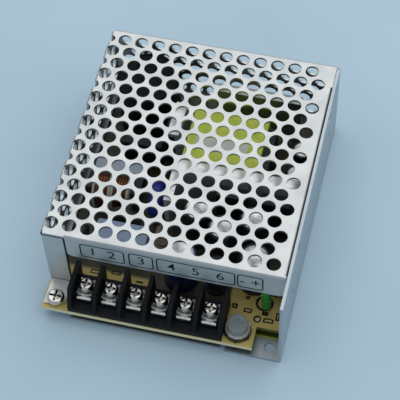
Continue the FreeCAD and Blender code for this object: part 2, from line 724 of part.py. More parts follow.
def terminal_housing():
    """Moulded block with a stepped base, a low back wall and upright barriers."""
    left = BLOCK_LEFT
    right = BLOCK_RIGHT
    half = BARRIER_THICKNESS / 2
    pieces = [
        box(left, right, BLOCK_FRONT, BASE_BACK, BOARD_TOP, BOARD_TOP + BLOCK_STEP),
        box(left, right, CONTACT_FRONT + CONTACT_THICKNESS, BASE_BACK, BOARD_TOP, CONTACT_SEAT),
        box(left, right, BASE_BACK - BLOCK_REAR_WALL, BASE_BACK, BOARD_TOP,
            BOARD_TOP + BLOCK_REAR_HEIGHT),
    ]
    for i in range(TERMINALS + 1):
        x = left + i * TERMINAL_PITCH
        pieces.append(prism([
            (x - half, BLOCK_FRONT, BOARD_TOP),
            (x - half, BLOCK_FRONT, BOARD_TOP + BLOCK_STEP),
            (x - half, BLOCK_FRONT + BARRIER_SLOPE, BOARD_TOP + BARRIER_HEIGHT),
            (x - half, BLOCK_BACK, BOARD_TOP + BARRIER_HEIGHT),
            (x - half, BLOCK_BACK, BOARD_TOP),
        ], (BARRIER_THICKNESS, 0, 0)))
    shape = join(pieces)
    cuts = []
    for x in terminal_places():
        cuts.append(rod(THREAD_RADIUS + BOARD_HOLE_PLAY, x, TERMINAL_Y,
                        HEAD_SEAT - TERMINAL_SCREW_LENGTH - BOARD_HOLE_PLAY, CONTACT_SEAT))
        cuts.append(contact_pin(x, SCREW_CLEARANCE))
    return shape.cut(Part.makeCompound(cuts))


def terminal_contacts():
    """Contacts bent down over the block's shoulder, each with a threaded hole and a pin."""
    half = CONTACT_WIDTH / 2
    contacts = []
    for x in terminal_places():
        plate = box(x - half, x + half, CONTACT_FRONT, CONTACT_BACK, CONTACT_SEAT, CLAMP_SEAT)
        lip = box(x - half, x + half, CONTACT_FRONT, CONTACT_FRONT + CONTACT_THICKNESS,
                  CLAMP_SEAT - CONTACT_LIP, CLAMP_SEAT)
        shape = join([plate, lip])
        bend = [e for e in shape.Edges if abs(e.BoundBox.YMax - CONTACT_FRONT) < 1e-6
                and abs(e.BoundBox.ZMin - CLAMP_SEAT) < 1e-6]
        shape = join([shape.makeFillet(CONTACT_THICKNESS * 0.6, bend), contact_pin(x, 0.0)])
        contacts.append(shape.cut(rod(THREAD_RADIUS, x, TERMINAL_Y, CONTACT_SEAT, CLAMP_SEAT)))
    return Part.makeCompound(contacts)


def clamp_corner(x, side, end):
    """One corner of a clamp, folded up along its diagonal."""
    half = CLAMP_WIDTH / 2
    long_half = CLAMP_LENGTH / 2
    inner = FreeCAD.Vector(x + side * (half - CLAMP_CORNER), TERMINAL_Y + end * long_half, CLAMP_SEAT)
    outer = FreeCAD.Vector(x + side * half, TERMINAL_Y + end * (long_half - CLAMP_CORNER), CLAMP_SEAT)
    tip = FreeCAD.Vector(x + side * half, TERMINAL_Y + end * long_half, CLAMP_SEAT + CLAMP_CORNER_RISE)
    triangle = Part.Face(Part.makePolygon([inner, outer, tip, inner]))
    return triangle.extrude(FreeCAD.Vector(0, 0, CLAMP_THICKNESS))


def terminal_clamp(x):
    """Wire clamp plate with its four corners turned up."""
    half = CLAMP_WIDTH / 2
    long_half = CLAMP_LENGTH / 2
    flat = half - CLAMP_CORNER
    flank = long_half - CLAMP_CORNER
    plate = prism([
        (x - flat, TERMINAL_Y - long_half, CLAMP_SEAT), (x + flat, TERMINAL_Y - long_half, CLAMP_SEAT),
        (x + half, TERMINAL_Y - flank, CLAMP_SEAT), (x + half, TERMINAL_Y + flank, CLAMP_SEAT),
        (x + flat, TERMINAL_Y + long_half, CLAMP_SEAT), (x - flat, TERMINAL_Y + long_half, CLAMP_SEAT),
        (x - half, TERMINAL_Y + flank, CLAMP_SEAT), (x - half, TERMINAL_Y - flank, CLAMP_SEAT),
    ], (0, 0, CLAMP_THICKNESS))
    corners = [clamp_corner(x, side, end) for side in (-1, 1) for end in (-1, 1)]
    return join([plate] + corners).cut(rod(THREAD_RADIUS, x, TERMINAL_Y, CLAMP_SEAT, WASHER_SEAT))


def spring_washer(x):
    """Split washer on the clamp plate."""
    ring = rod(WASHER_DIAMETER / 2, x, TERMINAL_Y, WASHER_SEAT, HEAD_SEAT)
    ring = ring.cut(rod(THREAD_RADIUS, x, TERMINAL_Y, WASHER_SEAT, HEAD_SEAT))
    return ring.cut(box(x, x + WASHER_DIAMETER, TERMINAL_Y, TERMINAL_Y + WASHER_SPLIT,
                        WASHER_SEAT, HEAD_SEAT))


def terminal_screw(x):
    """Terminal screw through washer, clamp and contact."""
    return pan_screw(x, TERMINAL_Y, HEAD_SEAT, TERMINAL_HEAD, TERMINAL_HEAD_HEIGHT,
                     TERMINAL_SCREW_LENGTH)


TRIM_X = BLOCK_RIGHT + (BARRIER_THICKNESS + TRIMMER_BASE_DIAMETER) / 2 + TRIMMER_SIDE_GAP
TRIM_Y = from_front(TRIMMER_Y)
SKIRT_SEAT = BOARD_TOP + TRIMMER_BASE_HEIGHT + TRIMMER_RUNNING_GAP
CAP_SEAT = SKIRT_SEAT + TRIMMER_SKIRT_HEIGHT
AXLE_TOP = CAP_SEAT + TRIMMER_CAP_HEIGHT / 3


def trimmer_base():
    """Moulded base with three feet round its rim and the axle in its middle."""
    radius = TRIMMER_BASE_DIAMETER / 2
    pieces = [rod(radius, TRIM_X, TRIM_Y, BOARD_TOP, BOARD_TOP + TRIMMER_BASE_HEIGHT)]
    for angle in (210, 270, 330):
        x = TRIM_X + radius * math.cos(math.radians(angle))
        y = TRIM_Y + radius * math.sin(math.radians(angle))
        pieces.append(rod(0.7, x, y, BOARD_TOP, BOARD_TOP + TRIMMER_BASE_HEIGHT * 0.8))
    pieces.append(rod(TRIMMER_AXLE_DIAMETER / 2, TRIM_X, TRIM_Y, BOARD_TOP, AXLE_TOP))
    return join(pieces)


def trimmer_skirt():
    """Faceted metal wiper ring under the cap."""
    radius = TRIMMER_BASE_DIAMETER / 2
    points = []
    for i in range(TRIMMER_SKIRT_SIDES):
        angle = 2 * math.pi * i / TRIMMER_SKIRT_SIDES
        points.append((TRIM_X + radius * math.cos(angle), TRIM_Y + radius * math.sin(angle), SKIRT_SEAT))
    ring = prism(points, (0, 0, TRIMMER_SKIRT_HEIGHT))
    bore = TRIMMER_AXLE_DIAMETER / 2 + TRIMMER_CLEARANCE
    return ring.cut(rod(bore, TRIM_X, TRIM_Y, SKIRT_SEAT, CAP_SEAT))


def trimmer_cap():
    """Round grey cap with a shallow cross in its top."""
    top = CAP_SEAT + TRIMMER_CAP_HEIGHT
    cap = rod(TRIMMER_CAP_DIAMETER / 2, TRIM_X, TRIM_Y, CAP_SEAT, top)
    rim = [e for e in cap.Edges if abs(e.BoundBox.ZMin - top) < 1e-6 and e.BoundBox.ZLength < 1e-6]
    cap = cap.makeFillet(0.5, rim)
    bore = TRIMMER_AXLE_DIAMETER / 2 + TRIMMER_CLEARANCE
    cap = cap.cut(rod(bore, TRIM_X, TRIM_Y, CAP_SEAT, AXLE_TOP + TRIMMER_RUNNING_GAP))
    slot = cross_recess(TRIM_X, TRIM_Y, top + RECESS_DEPTH - 0.25, TRIMMER_CAP_DIAMETER * 0.5)
    return cap.cut(slot)


def lamp_sleeve():
    """Green sleeve under the lamp's body, with two holes for its leads."""
    x = from_left(LAMP_X)
    y = from_front(LAMP_Y)
    low = BOARD_TOP + LAMP_LIFT
    sleeve = rod(LAMP_SLEEVE_DIAMETER / 2, x, y, low, low + LAMP_SLEEVE_HEIGHT)
    for side in (-1, 1):
        middle = x + side * LAMP_DIAMETER / 4
        half = LEAD / 2 + SCREW_CLEARANCE
        sleeve = sleeve.cut(box(middle - half, middle + half, y - half, y + half, 0, TOP))
    return sleeve


def indicator_lamp():
    """Round lamp on the sleeve, its two leads running down to the board."""
    x = from_left(LAMP_X)
    y = from_front(LAMP_Y)
    radius = LAMP_DIAMETER / 2
    low = BOARD_TOP + LAMP_LIFT + LAMP_SLEEVE_HEIGHT
    high = low + LAMP_HEIGHT - radius
    dome = Part.makeSphere(radius, FreeCAD.Vector(x, y, high), UP, 0, 90, 360)
    rim = rod(radius + LAMP_FLANGE, x, y, low, low + 3 * LAMP_FLANGE)
    pieces = [rim, rod(radius, x, y, low, high), dome]
    for side in (-1, 1):
        middle = x + side * LAMP_DIAMETER / 4
        pieces.append(box(middle - LEAD / 2, middle + LEAD / 2, y - LEAD / 2, y + LEAD / 2, BOARD_TOP, low))
    return join(pieces)


def can(x, y, diameter, height):
    """Upright electrolytic can with a rolled groove near its foot."""
    radius = diameter / 2
    top = BOARD_TOP + height
    body = rod(radius, x, y, BOARD_TOP, top)
    rim = [e for e in body.Edges if abs(e.BoundBox.ZMin - top) < 1e-6 and e.BoundBox.ZLength < 1e-6]
    body = body.makeFillet(CAN_EDGE, rim)
    groove = Part.makeTorus(radius + 0.35, 0.7, FreeCAD.Vector(x, y, BOARD_TOP + 2.2), UP)
    return body.cut(groove)


BULK_HEIGHT = LID_UNDER - BULK_TOP_GAP - BOARD_TOP


def bulk_capacitor():
    """Large sleeved can that stores the rectified mains."""
    return can(LEFT + BULK_INSET_X, BACK - BULK_INSET_Y, BULK_DIAMETER, BULK_HEIGHT)


def disc_on_leads(place, diameter, thickness, turned):
    """Dipped disc standing on two leads, its axis along X, or along Y if turned."""
    radius = diameter / 2
    middle = BOARD_TOP + DISC_LIFT + radius
    disc = rod_x(radius, -thickness / 2, thickness / 2, 0, middle)
    disc = disc.makeFillet(thickness * DISC_EDGE, disc.Edges[:1] + disc.Edges[2:3])
    pieces = [disc]
    for side in (-1, 1):
        lead_y = side * radius / 2
        pieces.append(box(-LEAD / 2, LEAD / 2, lead_y - LEAD / 2, lead_y + LEAD / 2, BOARD_TOP, middle))
    shape = join(pieces)
    if turned:
        shape.rotate(FreeCAD.Vector(0, 0, 0), UP, 90)
    x, y = spot(place)
    shape.translate(FreeCAD.Vector(x, y, 0))
    return shape


def fuse():
    """Round board-mounted fuse with a ring sunk in its top."""
    x, y = spot(FUSE_PLACE)
    top = BOARD_TOP + FUSE_HEIGHT
    body = rod(FUSE_DIAMETER / 2, x, y, BOARD_TOP, top)
    ring = rod(FUSE_DIAMETER * 0.36, x, y, top - FUSE_RING, top).cut(
        rod(FUSE_DIAMETER * 0.26, x, y, top - FUSE_RING, top))
    return body.cut(ring)


def varistor():
    """Surge absorber disc beside the mains terminals."""
    return disc_on_leads(VARISTOR_PLACE, VARISTOR_DIAMETER, VARISTOR_THICKNESS, False)


def inrush_thermistor():
    """Thermistor disc in the mains line, behind the boxed capacitor."""
    return disc_on_leads(THERMISTOR_PLACE, THERMISTOR_DIAMETER, THERMISTOR_THICKNESS, True)


def x_capacitor():
    """Boxed film capacitor across the mains, with rounded upright edges."""
    x, y = spot(X_CAPACITOR_PLACE)
    body = box(x - X_CAPACITOR_LENGTH / 2, x + X_CAPACITOR_LENGTH / 2,
               y - X_CAPACITOR_DEPTH / 2, y + X_CAPACITOR_DEPTH / 2,
               BOARD_TOP, BOARD_TOP + X_CAPACITOR_HEIGHT)
    upright = [e for e in body.Edges if e.BoundBox.ZLength > X_CAPACITOR_HEIGHT / 2]
    return body.makeFillet(X_CAPACITOR_EDGE, upright)


CHOKE_LEFT = across(CHOKE_PLACE[0]) - CHOKE_LENGTH / 2
CHOKE_Y = along(CHOKE_PLACE[1])
CHOKE_AXIS = BOARD_TOP + CHOKE_FOOT + CHOKE_COIL / 2
FLANGE_BACK = CHOKE_LEG / 2 + FLANGE_REAR
CHOKE_BACK = CHOKE_Y + CHOKE_COIL / 2 + CHOKE_BACK_LEG


def choke_core():
    """Closed ferrite frame lying flat, its front leg inside the coil."""
    right = CHOKE_LEFT + CHOKE_LENGTH
    front = CHOKE_Y - CHOKE_LEG / 2
    low = CHOKE_AXIS - CHOKE_LEG / 2
    high = CHOKE_AXIS + CHOKE_LEG / 2
    frame = box(CHOKE_LEFT, right, front, CHOKE_BACK, low, high)
    return frame.cut(box(CHOKE_LEFT + CHOKE_SIDE, right - CHOKE_SIDE, front + CHOKE_LEG,
                         CHOKE_BACK - CHOKE_BACK_LEG, low, high))


def choke_bobbin():
    """Bobbin with four flanges on the front leg, standing on the board."""
    left = CHOKE_LEFT + CHOKE_SIDE + CHOKE_FIT
    span = CHOKE_LENGTH - 2 * (CHOKE_SIDE + CHOKE_FIT)
    hollow = CHOKE_LEG / 2 + CHOKE_FIT
    tube = hollow + FLANGE_THICKNESS
    pieces = [box(left, left + span, CHOKE_Y - tube, CHOKE_Y + tube, CHOKE_AXIS - tube, CHOKE_AXIS + tube)]
    for place in SECTIONS[0] + SECTIONS[1]:
        x = left + place * (span - FLANGE_THICKNESS)
        plate = rod_x(CHOKE_COIL / 2, x, x + FLANGE_THICKNESS, CHOKE_Y, CHOKE_AXIS)
        foot = box(x, x + FLANGE_THICKNESS, CHOKE_Y - CHOKE_COIL / 2, CHOKE_Y + FLANGE_BACK,
                   BOARD_TOP, CHOKE_AXIS)
        keep = box(x, x + FLANGE_THICKNESS, CHOKE_Y - CHOKE_COIL, CHOKE_Y + FLANGE_BACK, 0, TOP)
        pieces.append(plate.fuse(foot).common(keep))
    return join(pieces).cut(box(left, left + span, CHOKE_Y - hollow, CHOKE_Y + hollow,
                                CHOKE_AXIS - hollow, CHOKE_AXIS + hollow))


def choke_windings():
    """Two wound sections of the mains choke."""
    left = CHOKE_LEFT + CHOKE_SIDE + CHOKE_FIT
    span = CHOKE_LENGTH - 2 * (CHOKE_SIDE + CHOKE_FIT) - FLANGE_THICKNESS
    tube = CHOKE_LEG / 2 + CHOKE_FIT + FLANGE_THICKNESS
    end = left + CHOKE_LENGTH
    inner = box(left, end, CHOKE_Y - tube, CHOKE_Y + tube, CHOKE_AXIS - tube, CHOKE_AXIS + tube)
    keep = box(left, end, CHOKE_Y - CHOKE_COIL, CHOKE_Y + FLANGE_BACK, BOARD_TOP, TOP)
    radius = CHOKE_COIL / 2 - CHOKE_WIRE_DROP
    coils = []
    for first, last in SECTIONS:
        coil = rod_x(radius, left + first * span + FLANGE_THICKNESS, left + last * span,
                     CHOKE_Y, CHOKE_AXIS)
        coils.append(coil.cut(inner).common(keep))
    return Part.makeCompound(coils)


def disc_capacitor():
    """Blue suppression capacitor."""
    return disc_on_leads(DISC_CAPACITOR_PLACE, DISC_CAPACITOR_DIAMETER, DISC_CAPACITOR_THICKNESS, False)


def bridge_rectifier():
    """Flat moulded bridge on its four leads, between the mains choke and the transistor."""
    x = PRIMARY_SINK_RIGHT - SINK_SHEET - PACKAGE_DEPTH - BRIDGE_GAP - BRIDGE_LENGTH / 2
    y = along(BRIDGE_PLACE_Y)
    low = BOARD_TOP + BRIDGE_LIFT
    pieces = [box(x - BRIDGE_LENGTH / 2, x + BRIDGE_LENGTH / 2,
                  y - BRIDGE_THICKNESS / 2, y + BRIDGE_THICKNESS / 2, low, low + BRIDGE_HEIGHT)]
    for i in range(4):
        lead_x = x + (i - 1.5) * BRIDGE_LENGTH / 4
        pieces.append(box(lead_x - LEAD / 2, lead_x + LEAD / 2, y - LEAD / 2, y + LEAD / 2, BOARD_TOP, low))
    return join(pieces)


def rear_heatsink():
    """Aluminium strip behind the transformer, with its top folded back."""
    left, front = spot(REAR_SINK_PLACE)
    right = across(REAR_SINK_END)
    top = SINK_TOP - REAR_SINK_DROP
    plate = box(left, right, front, front + SINK_SHEET, BOARD_TOP + SINK_FOOT, top)
    flange = box(left, right, front, front + REAR_SINK_FLANGE, top - SINK_SHEET, top)
    feet = [box(x, x + SINK_FOOT, front, front + SINK_SHEET, BOARD_TOP, BOARD_TOP + SINK_FOOT)
            for x in (left, right - SINK_FOOT)]
    return join([plate, flange] + feet)


def power_package(x, y):
    """Moulded power package with its three leads; its flat back is at the larger Y."""
    low = BOARD_TOP + PACKAGE_LIFT
    half = PACKAGE_WIDTH / 2
    lead_half = PACKAGE_LEAD_WIDTH / 2
    lead_back = y - PACKAGE_LEAD_INSET
    pieces = [box(x - half, x + half, y - PACKAGE_DEPTH, y, low, low + PACKAGE_HEIGHT)]
    for side in (-1, 0, 1):
        lead_x = x + side * PACKAGE_PITCH
        pieces.append(box(lead_x - lead_half, lead_x + lead_half, lead_back - LEAD, lead_back,
                          BOARD_TOP, low))
    return join(pieces)


PRIMARY_SINK_RIGHT, PRIMARY_SINK_Y = spot(PRIMARY_SINK_PLACE)


def primary_heatsink():
    """Aluminium plate left of the transformer, with its top folded over the transistor."""
    left = PRIMARY_SINK_RIGHT - SINK_SHEET
    front = PRIMARY_SINK_Y - PRIMARY_SINK_LENGTH / 2
    back = front + PRIMARY_SINK_LENGTH
    plate = box(left, PRIMARY_SINK_RIGHT, front, back, BOARD_TOP + SINK_FOOT, SINK_TOP)
    flange = box(PRIMARY_SINK_RIGHT - SINK_FLANGE, PRIMARY_SINK_RIGHT, front, back,
                 SINK_TOP - SINK_SHEET, SINK_TOP)
    feet = [box(left, PRIMARY_SINK_RIGHT, y, y + SINK_FOOT, BOARD_TOP, BOARD_TOP + SINK_FOOT)
            for y in (front, back - SINK_FOOT)]
    return join([plate, flange] + feet)


def switching_transistor():
    """Switching transistor on the left side of the primary heatsink."""
    package = power_package(0.0, 0.0)
    package.rotate(FreeCAD.Vector(0, 0, 0), UP, -90)
    package.translate(FreeCAD.Vector(PRIMARY_SINK_RIGHT - SINK_SHEET, PRIMARY_SINK_Y, 0))
    return package


SECONDARY_SINK_LEFT, SECONDARY_SINK_FRONT = spot(SECONDARY_SINK_PLACE)


def secondary_heatsink():
    """Aluminium plate before the transformer, with a wing running to the front."""
    left = SECONDARY_SINK_LEFT
    right = across(SECONDARY_SINK_END)
    front = SECONDARY_SINK_FRONT
    wing_front = front - WING_LENGTH
    low = BOARD_TOP + SINK_FOOT
    return join([
        box(left, right, front, front + SINK_SHEET, low, SINK_TOP),
        box(left, right, front, front + SINK_FLANGE, SINK_TOP - SINK_SHEET, SINK_TOP),
        box(left, left + SINK_SHEET, wing_front, front, low, SINK_TOP),
        box(left, left + WING_FLANGE, wing_front, front, SINK_TOP - SINK_SHEET, SINK_TOP),
        box(right - SINK_FOOT, right, front, front + SINK_SHEET, BOARD_TOP, low),
        box(left, left + SINK_SHEET, wing_front, wing_front + SINK_FOOT, BOARD_TOP, low),
    ])


def output_diodes():
    """Two rectifier packages on the secondary heatsink."""
    return Part.makeCompound([power_package(across(share), SECONDARY_SINK_FRONT)
                              for share in DIODE_PLACES_X])


TRANSFORMER_TOP = LID_UNDER - TRANSFORMER_TOP_GAP
WINDING_LEFT = PRIMARY_SINK_RIGHT + CORE_OVERHANG
WINDING_RIGHT = across(TRANSFORMER_END[0]) - CORE_OVERHANG
WINDING_FRONT = SECONDARY_SINK_FRONT + SINK_FLANGE + TRANSFORMER_GAP
WINDING_BACK = along(TRANSFORMER_END[1])


def transformer_winding():
    """Winding wrapped in yellow tape, with rounded long edges."""
    body = box(WINDING_LEFT, WINDING_RIGHT, WINDING_FRONT, WINDING_BACK,
               BOARD_TOP + BOBBIN_BASE, TRANSFORMER_TOP)
    long_edges = [e for e in body.Edges if e.BoundBox.XLength > 1.0 and e.BoundBox.YLength < 1e-6
                  and abs(e.BoundBox.ZMin - TRANSFORMER_TOP) < 1e-6]
    return body.makeFillet(TRANSFORMER_ROUND, long_edges)


def transformer_core():
    """Ferrite halves that close round the two ends of the winding."""
    outer = box(WINDING_LEFT - CORE_OVERHANG, WINDING_RIGHT + CORE_OVERHANG,
                WINDING_FRONT + CORE_INSET, WINDING_BACK - CORE_INSET,
                BOARD_TOP + BOBBIN_BASE, TRANSFORMER_TOP - CORE_DROP)
    return outer.cut(box(WINDING_LEFT, WINDING_RIGHT, WINDING_FRONT, WINDING_BACK, 0, TOP))


def transformer_bobbin():
    """Bobbin base under winding and core, with two rows of pins."""
    left = WINDING_LEFT - CORE_OVERHANG
    right = WINDING_RIGHT + CORE_OVERHANG
    pieces = [box(left, right, WINDING_FRONT + BOBBIN_INSET, WINDING_BACK - BOBBIN_INSET,
                  BOARD_TOP + BOBBIN_LIFT, BOARD_TOP + BOBBIN_BASE)]
    pitch = (WINDING_BACK - WINDING_FRONT) / (PIN_ROWS + 1)
    for x in (left + BOBBIN_PIN_INSET, right - BOBBIN_PIN_INSET):
        for i in range(PIN_ROWS):
            pieces.append(rod(BOBBIN_PIN / 2, x, WINDING_FRONT + (i + 1) * pitch,
                              BOARD_TOP, BOARD_TOP + BOBBIN_LIFT))
    return join(pieces)


def output_choke():
    """Drum-core output choke."""
    x, y = spot(OUTPUT_CHOKE_PLACE)
    top = BOARD_TOP + OUTPUT_CHOKE_HEIGHT
    return join([
        rod(OUTPUT_CHOKE_WAIST / 2, x, y, BOARD_TOP, top),
        rod(OUTPUT_CHOKE_DIAMETER / 2, x, y, BOARD_TOP, BOARD_TOP + OUTPUT_CHOKE_RIM),
        rod(OUTPUT_CHOKE_DIAMETER / 2, x, y, top - OUTPUT_CHOKE_RIM, top),
    ])


def output_cans():
    """Middles of the four output cans, three before the diodes and one at the front."""
    y = SECONDARY_SINK_FRONT - PACKAGE_DEPTH - OUTPUT_CAN_GAP - OUTPUT_CAN_DIAMETER / 2
    left, right, middle = [across(share) for share in OUTPUT_CAN_PLACES_X]
    return [(left, y), (right, y), (middle, y - OUTPUT_CAN_STEP), spot(FRONT_CAN_PLACE)]


def filter_capacitor():
    """Can close behind the terminal block."""
    y = BLOCK_BACK + FILTER_GAP + FILTER_DIAMETER / 2
    return can(across(FILTER_PLACE_X), y, FILTER_DIAMETER, FILTER_HEIGHT)


def chip(place, size, leads):
    """Small package of a length, width and height, with leads on both long sides."""
    length, width, height = size
    x, y = spot(place)
    left = x - width / 2
    front = y - length / 2
    pieces = [box(left, left + width, front, front + length, BOARD_TOP + CHIP_LIFT, BOARD_TOP + height)]
    for i in range(leads):
        lead_y = front + (i + 0.5) * length / leads
        for side in (-CHIP_LIFT, width):
            pieces.append(box(left + side, left + side + CHIP_LIFT, lead_y - CHIP_LEAD / 2,
                              lead_y + CHIP_LEAD / 2, BOARD_TOP, BOARD_TOP + CHIP_LEAD_HEIGHT))
    return join(pieces)


def small_capacitors():
    """Two small cans between the transformer and the right wall."""
    return Part.makeCompound([can(*spot(place), SMALL_CAN_DIAMETER, SMALL_CAN_HEIGHT)
                              for place in SMALL_CAN_PLACES])


def resistor(place, length, along_y):
    """Resistor lying on the board, with its bent leads."""
    x, y = spot(place)
    radius = length / RESISTOR_SLIMNESS
    z = BOARD_TOP + radius + RESISTOR_LIFT
    half = length / 2
    end = half + RESISTOR_WIRE
    thin = LEAD / 2
    pieces = [
        rod_x(radius, -half, half, 0, z),
        box(-end, end, -thin, thin, z - thin, z + thin),
        box(-end, LEAD - end, -thin, thin, BOARD_TOP, z),
        box(end - LEAD, end, -thin, thin, BOARD_TOP, z),
    ]
    shape = join(pieces)
    if along_y:
        shape.rotate(FreeCAD.Vector(0, 0, 0), UP, 90)
    shape.translate(FreeCAD.Vector(x, y, 0))
    return shape


def resistors():
    """Power resistors of the start-up and snubber circuits."""
    return Part.makeCompound([
        resistor(REAR_RESISTOR_PLACES[0], RESISTOR_LENGTH, True),
        resistor(REAR_RESISTOR_PLACES[1], RESISTOR_LENGTH, False),
        resistor(SIDE_RESISTOR_PLACE, RESISTOR_LENGTH, True),
        resistor(SMALL_RESISTOR_PLACE, SMALL_RESISTOR_LENGTH, True),
    ])


def save(name, shape):
    """Write one piece as its own STEP file."""
    shape.exportStep("parts/" + name + ".step")


os.makedirs("parts", exist_ok=True)
save("chassis", chassis())
save("cover", cover())
save("cover_side_screws", cover_side_screws())
save("board_screws", board_screws())
save("board_standoffs", board_standoffs())
save("insulating_film", insulating_film())
save("circuit_board", circuit_board())
save("terminal_housing", terminal_housing())
save("terminal_contacts", terminal_contacts())
for number, place in enumerate(terminal_places(), start=1):
    save("terminal_clamp_" + str(number), terminal_clamp(place))
    save("spring_washer_" + str(number), spring_washer(place))
    save("terminal_screw_" + str(number), terminal_screw(place))
save("trimmer_base", trimmer_base())
save("trimmer_skirt", trimmer_skirt())
save("trimmer_cap", trimmer_cap())
save("lamp_sleeve", lamp_sleeve())
save("indicator_lamp", indicator_lamp())
save("fuse", fuse())
save("varistor", varistor())
save("inrush_thermistor", inrush_thermistor())
save("x_capacitor", x_capacitor())
save("choke_core", choke_core())
save("choke_bobbin", choke_bobbin())
save("choke_windings", choke_windings())
save("disc_capacitor", disc_capacitor())
save("bridge_rectifier", bridge_rectifier())
save("bulk_capacitor", bulk_capacitor())
save("rear_heatsink", rear_heatsink())
save("primary_heatsink", primary_heatsink())
save("switching_transistor", switching_transistor())
save("transformer_core", transformer_core())
save("transformer_bobbin", transformer_bobbin())
save("transformer_winding", transformer_winding())
save("secondary_heatsink", secondary_heatsink())
save("output_diodes", output_diodes())
for number, (x, y) in enumerate(output_cans(), start=1):
    save("output_capacitor_" + str(number), can(x, y, OUTPUT_CAN_DIAMETER, OUTPUT_CAN_HEIGHT))
save("filter_capacitor", filter_capacitor())
save("output_choke", output_choke())
save("optocoupler", chip(OPTOCOUPLER_PLACE, OPTOCOUPLER_SIZE, 2))
save("controller_chip", chip(CONTROLLER_PLACE, CONTROLLER_SIZE, 4))
save("small_capacitors", small_capacitors())
save("resistors", resistors())
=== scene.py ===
import math

import bpy
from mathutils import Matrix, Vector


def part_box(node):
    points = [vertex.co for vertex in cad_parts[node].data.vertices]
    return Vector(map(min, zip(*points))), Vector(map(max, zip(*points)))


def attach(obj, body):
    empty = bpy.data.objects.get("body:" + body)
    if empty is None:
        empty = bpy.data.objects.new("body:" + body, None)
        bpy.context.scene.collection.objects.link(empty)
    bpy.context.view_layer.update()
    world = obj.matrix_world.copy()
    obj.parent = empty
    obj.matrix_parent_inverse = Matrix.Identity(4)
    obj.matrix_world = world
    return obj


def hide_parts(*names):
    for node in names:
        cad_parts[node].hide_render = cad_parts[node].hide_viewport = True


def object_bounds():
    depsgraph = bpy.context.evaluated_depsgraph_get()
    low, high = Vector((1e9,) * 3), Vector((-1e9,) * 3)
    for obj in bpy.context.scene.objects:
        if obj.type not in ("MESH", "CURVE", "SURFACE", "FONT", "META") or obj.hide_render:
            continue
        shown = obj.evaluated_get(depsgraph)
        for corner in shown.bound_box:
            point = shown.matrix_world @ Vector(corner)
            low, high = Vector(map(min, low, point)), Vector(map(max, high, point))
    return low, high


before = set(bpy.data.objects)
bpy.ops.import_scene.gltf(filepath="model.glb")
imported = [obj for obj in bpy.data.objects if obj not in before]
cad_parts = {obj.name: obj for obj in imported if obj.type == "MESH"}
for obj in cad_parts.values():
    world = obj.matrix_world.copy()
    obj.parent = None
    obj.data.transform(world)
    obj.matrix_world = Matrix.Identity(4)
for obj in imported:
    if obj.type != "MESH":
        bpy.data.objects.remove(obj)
cad_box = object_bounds()

# Perforated cover
# One sheet of galvanised steel, 0.8 mm thick, punched flat and then folded. The zinc has a satin, faintly cloudy
# face that mirrors the light above softly, so it looks nearly white from above and grey at the folds. Painted
# shade darkens thin bands along the seams at the top, right and lower edges of its small front panel.

MM = 0.001
COLOUR_MIX = {"data_type": "RGBA"}
# Colour of the painted shade in recesses and along the front panel's seams.
PAINTED_SHADE = "#232427"
SHADE_RAYS = 6


def linear(code):
    """Linear colour of an sRGB hex value."""
    parts = [int(code[i:i + 2], 16) / 255 for i in (1, 3, 5)]
    return tuple(p / 12.92 if p <= 0.04045 else ((p + 0.055) / 1.055) ** 2.4 for p in parts) + (1.0,)


def add_node(tree, kind, settings=None, inputs=None):
    """One shader node with its settings, and its inputs set or linked."""
    made = tree.nodes.new(kind)
    for key, value in (settings or {}).items():
        setattr(made, key, value)
    for key, value in (inputs or {}).items():
        if isinstance(value, bpy.types.NodeSocket):
            tree.links.new(value, made.inputs[key])
        else:
            made.inputs[key].default_value = value
    return made


def start_finish(name):
    """An empty material, its node tree and the piece's own coordinates."""
    material = bpy.data.materials.new(name)
    material.use_nodes = True
    tree = material.node_tree
    tree.nodes.clear()
    place = add_node(tree, "ShaderNodeTexCoord").outputs["Object"]
    return material, tree, place


def end_finish(tree, inputs):
    """The shader and the output that close a material."""
    shader = add_node(tree, "ShaderNodeBsdfPrincipled", inputs=inputs)
    add_node(tree, "ShaderNodeOutputMaterial", inputs={"Surface": shader.outputs["BSDF"]})


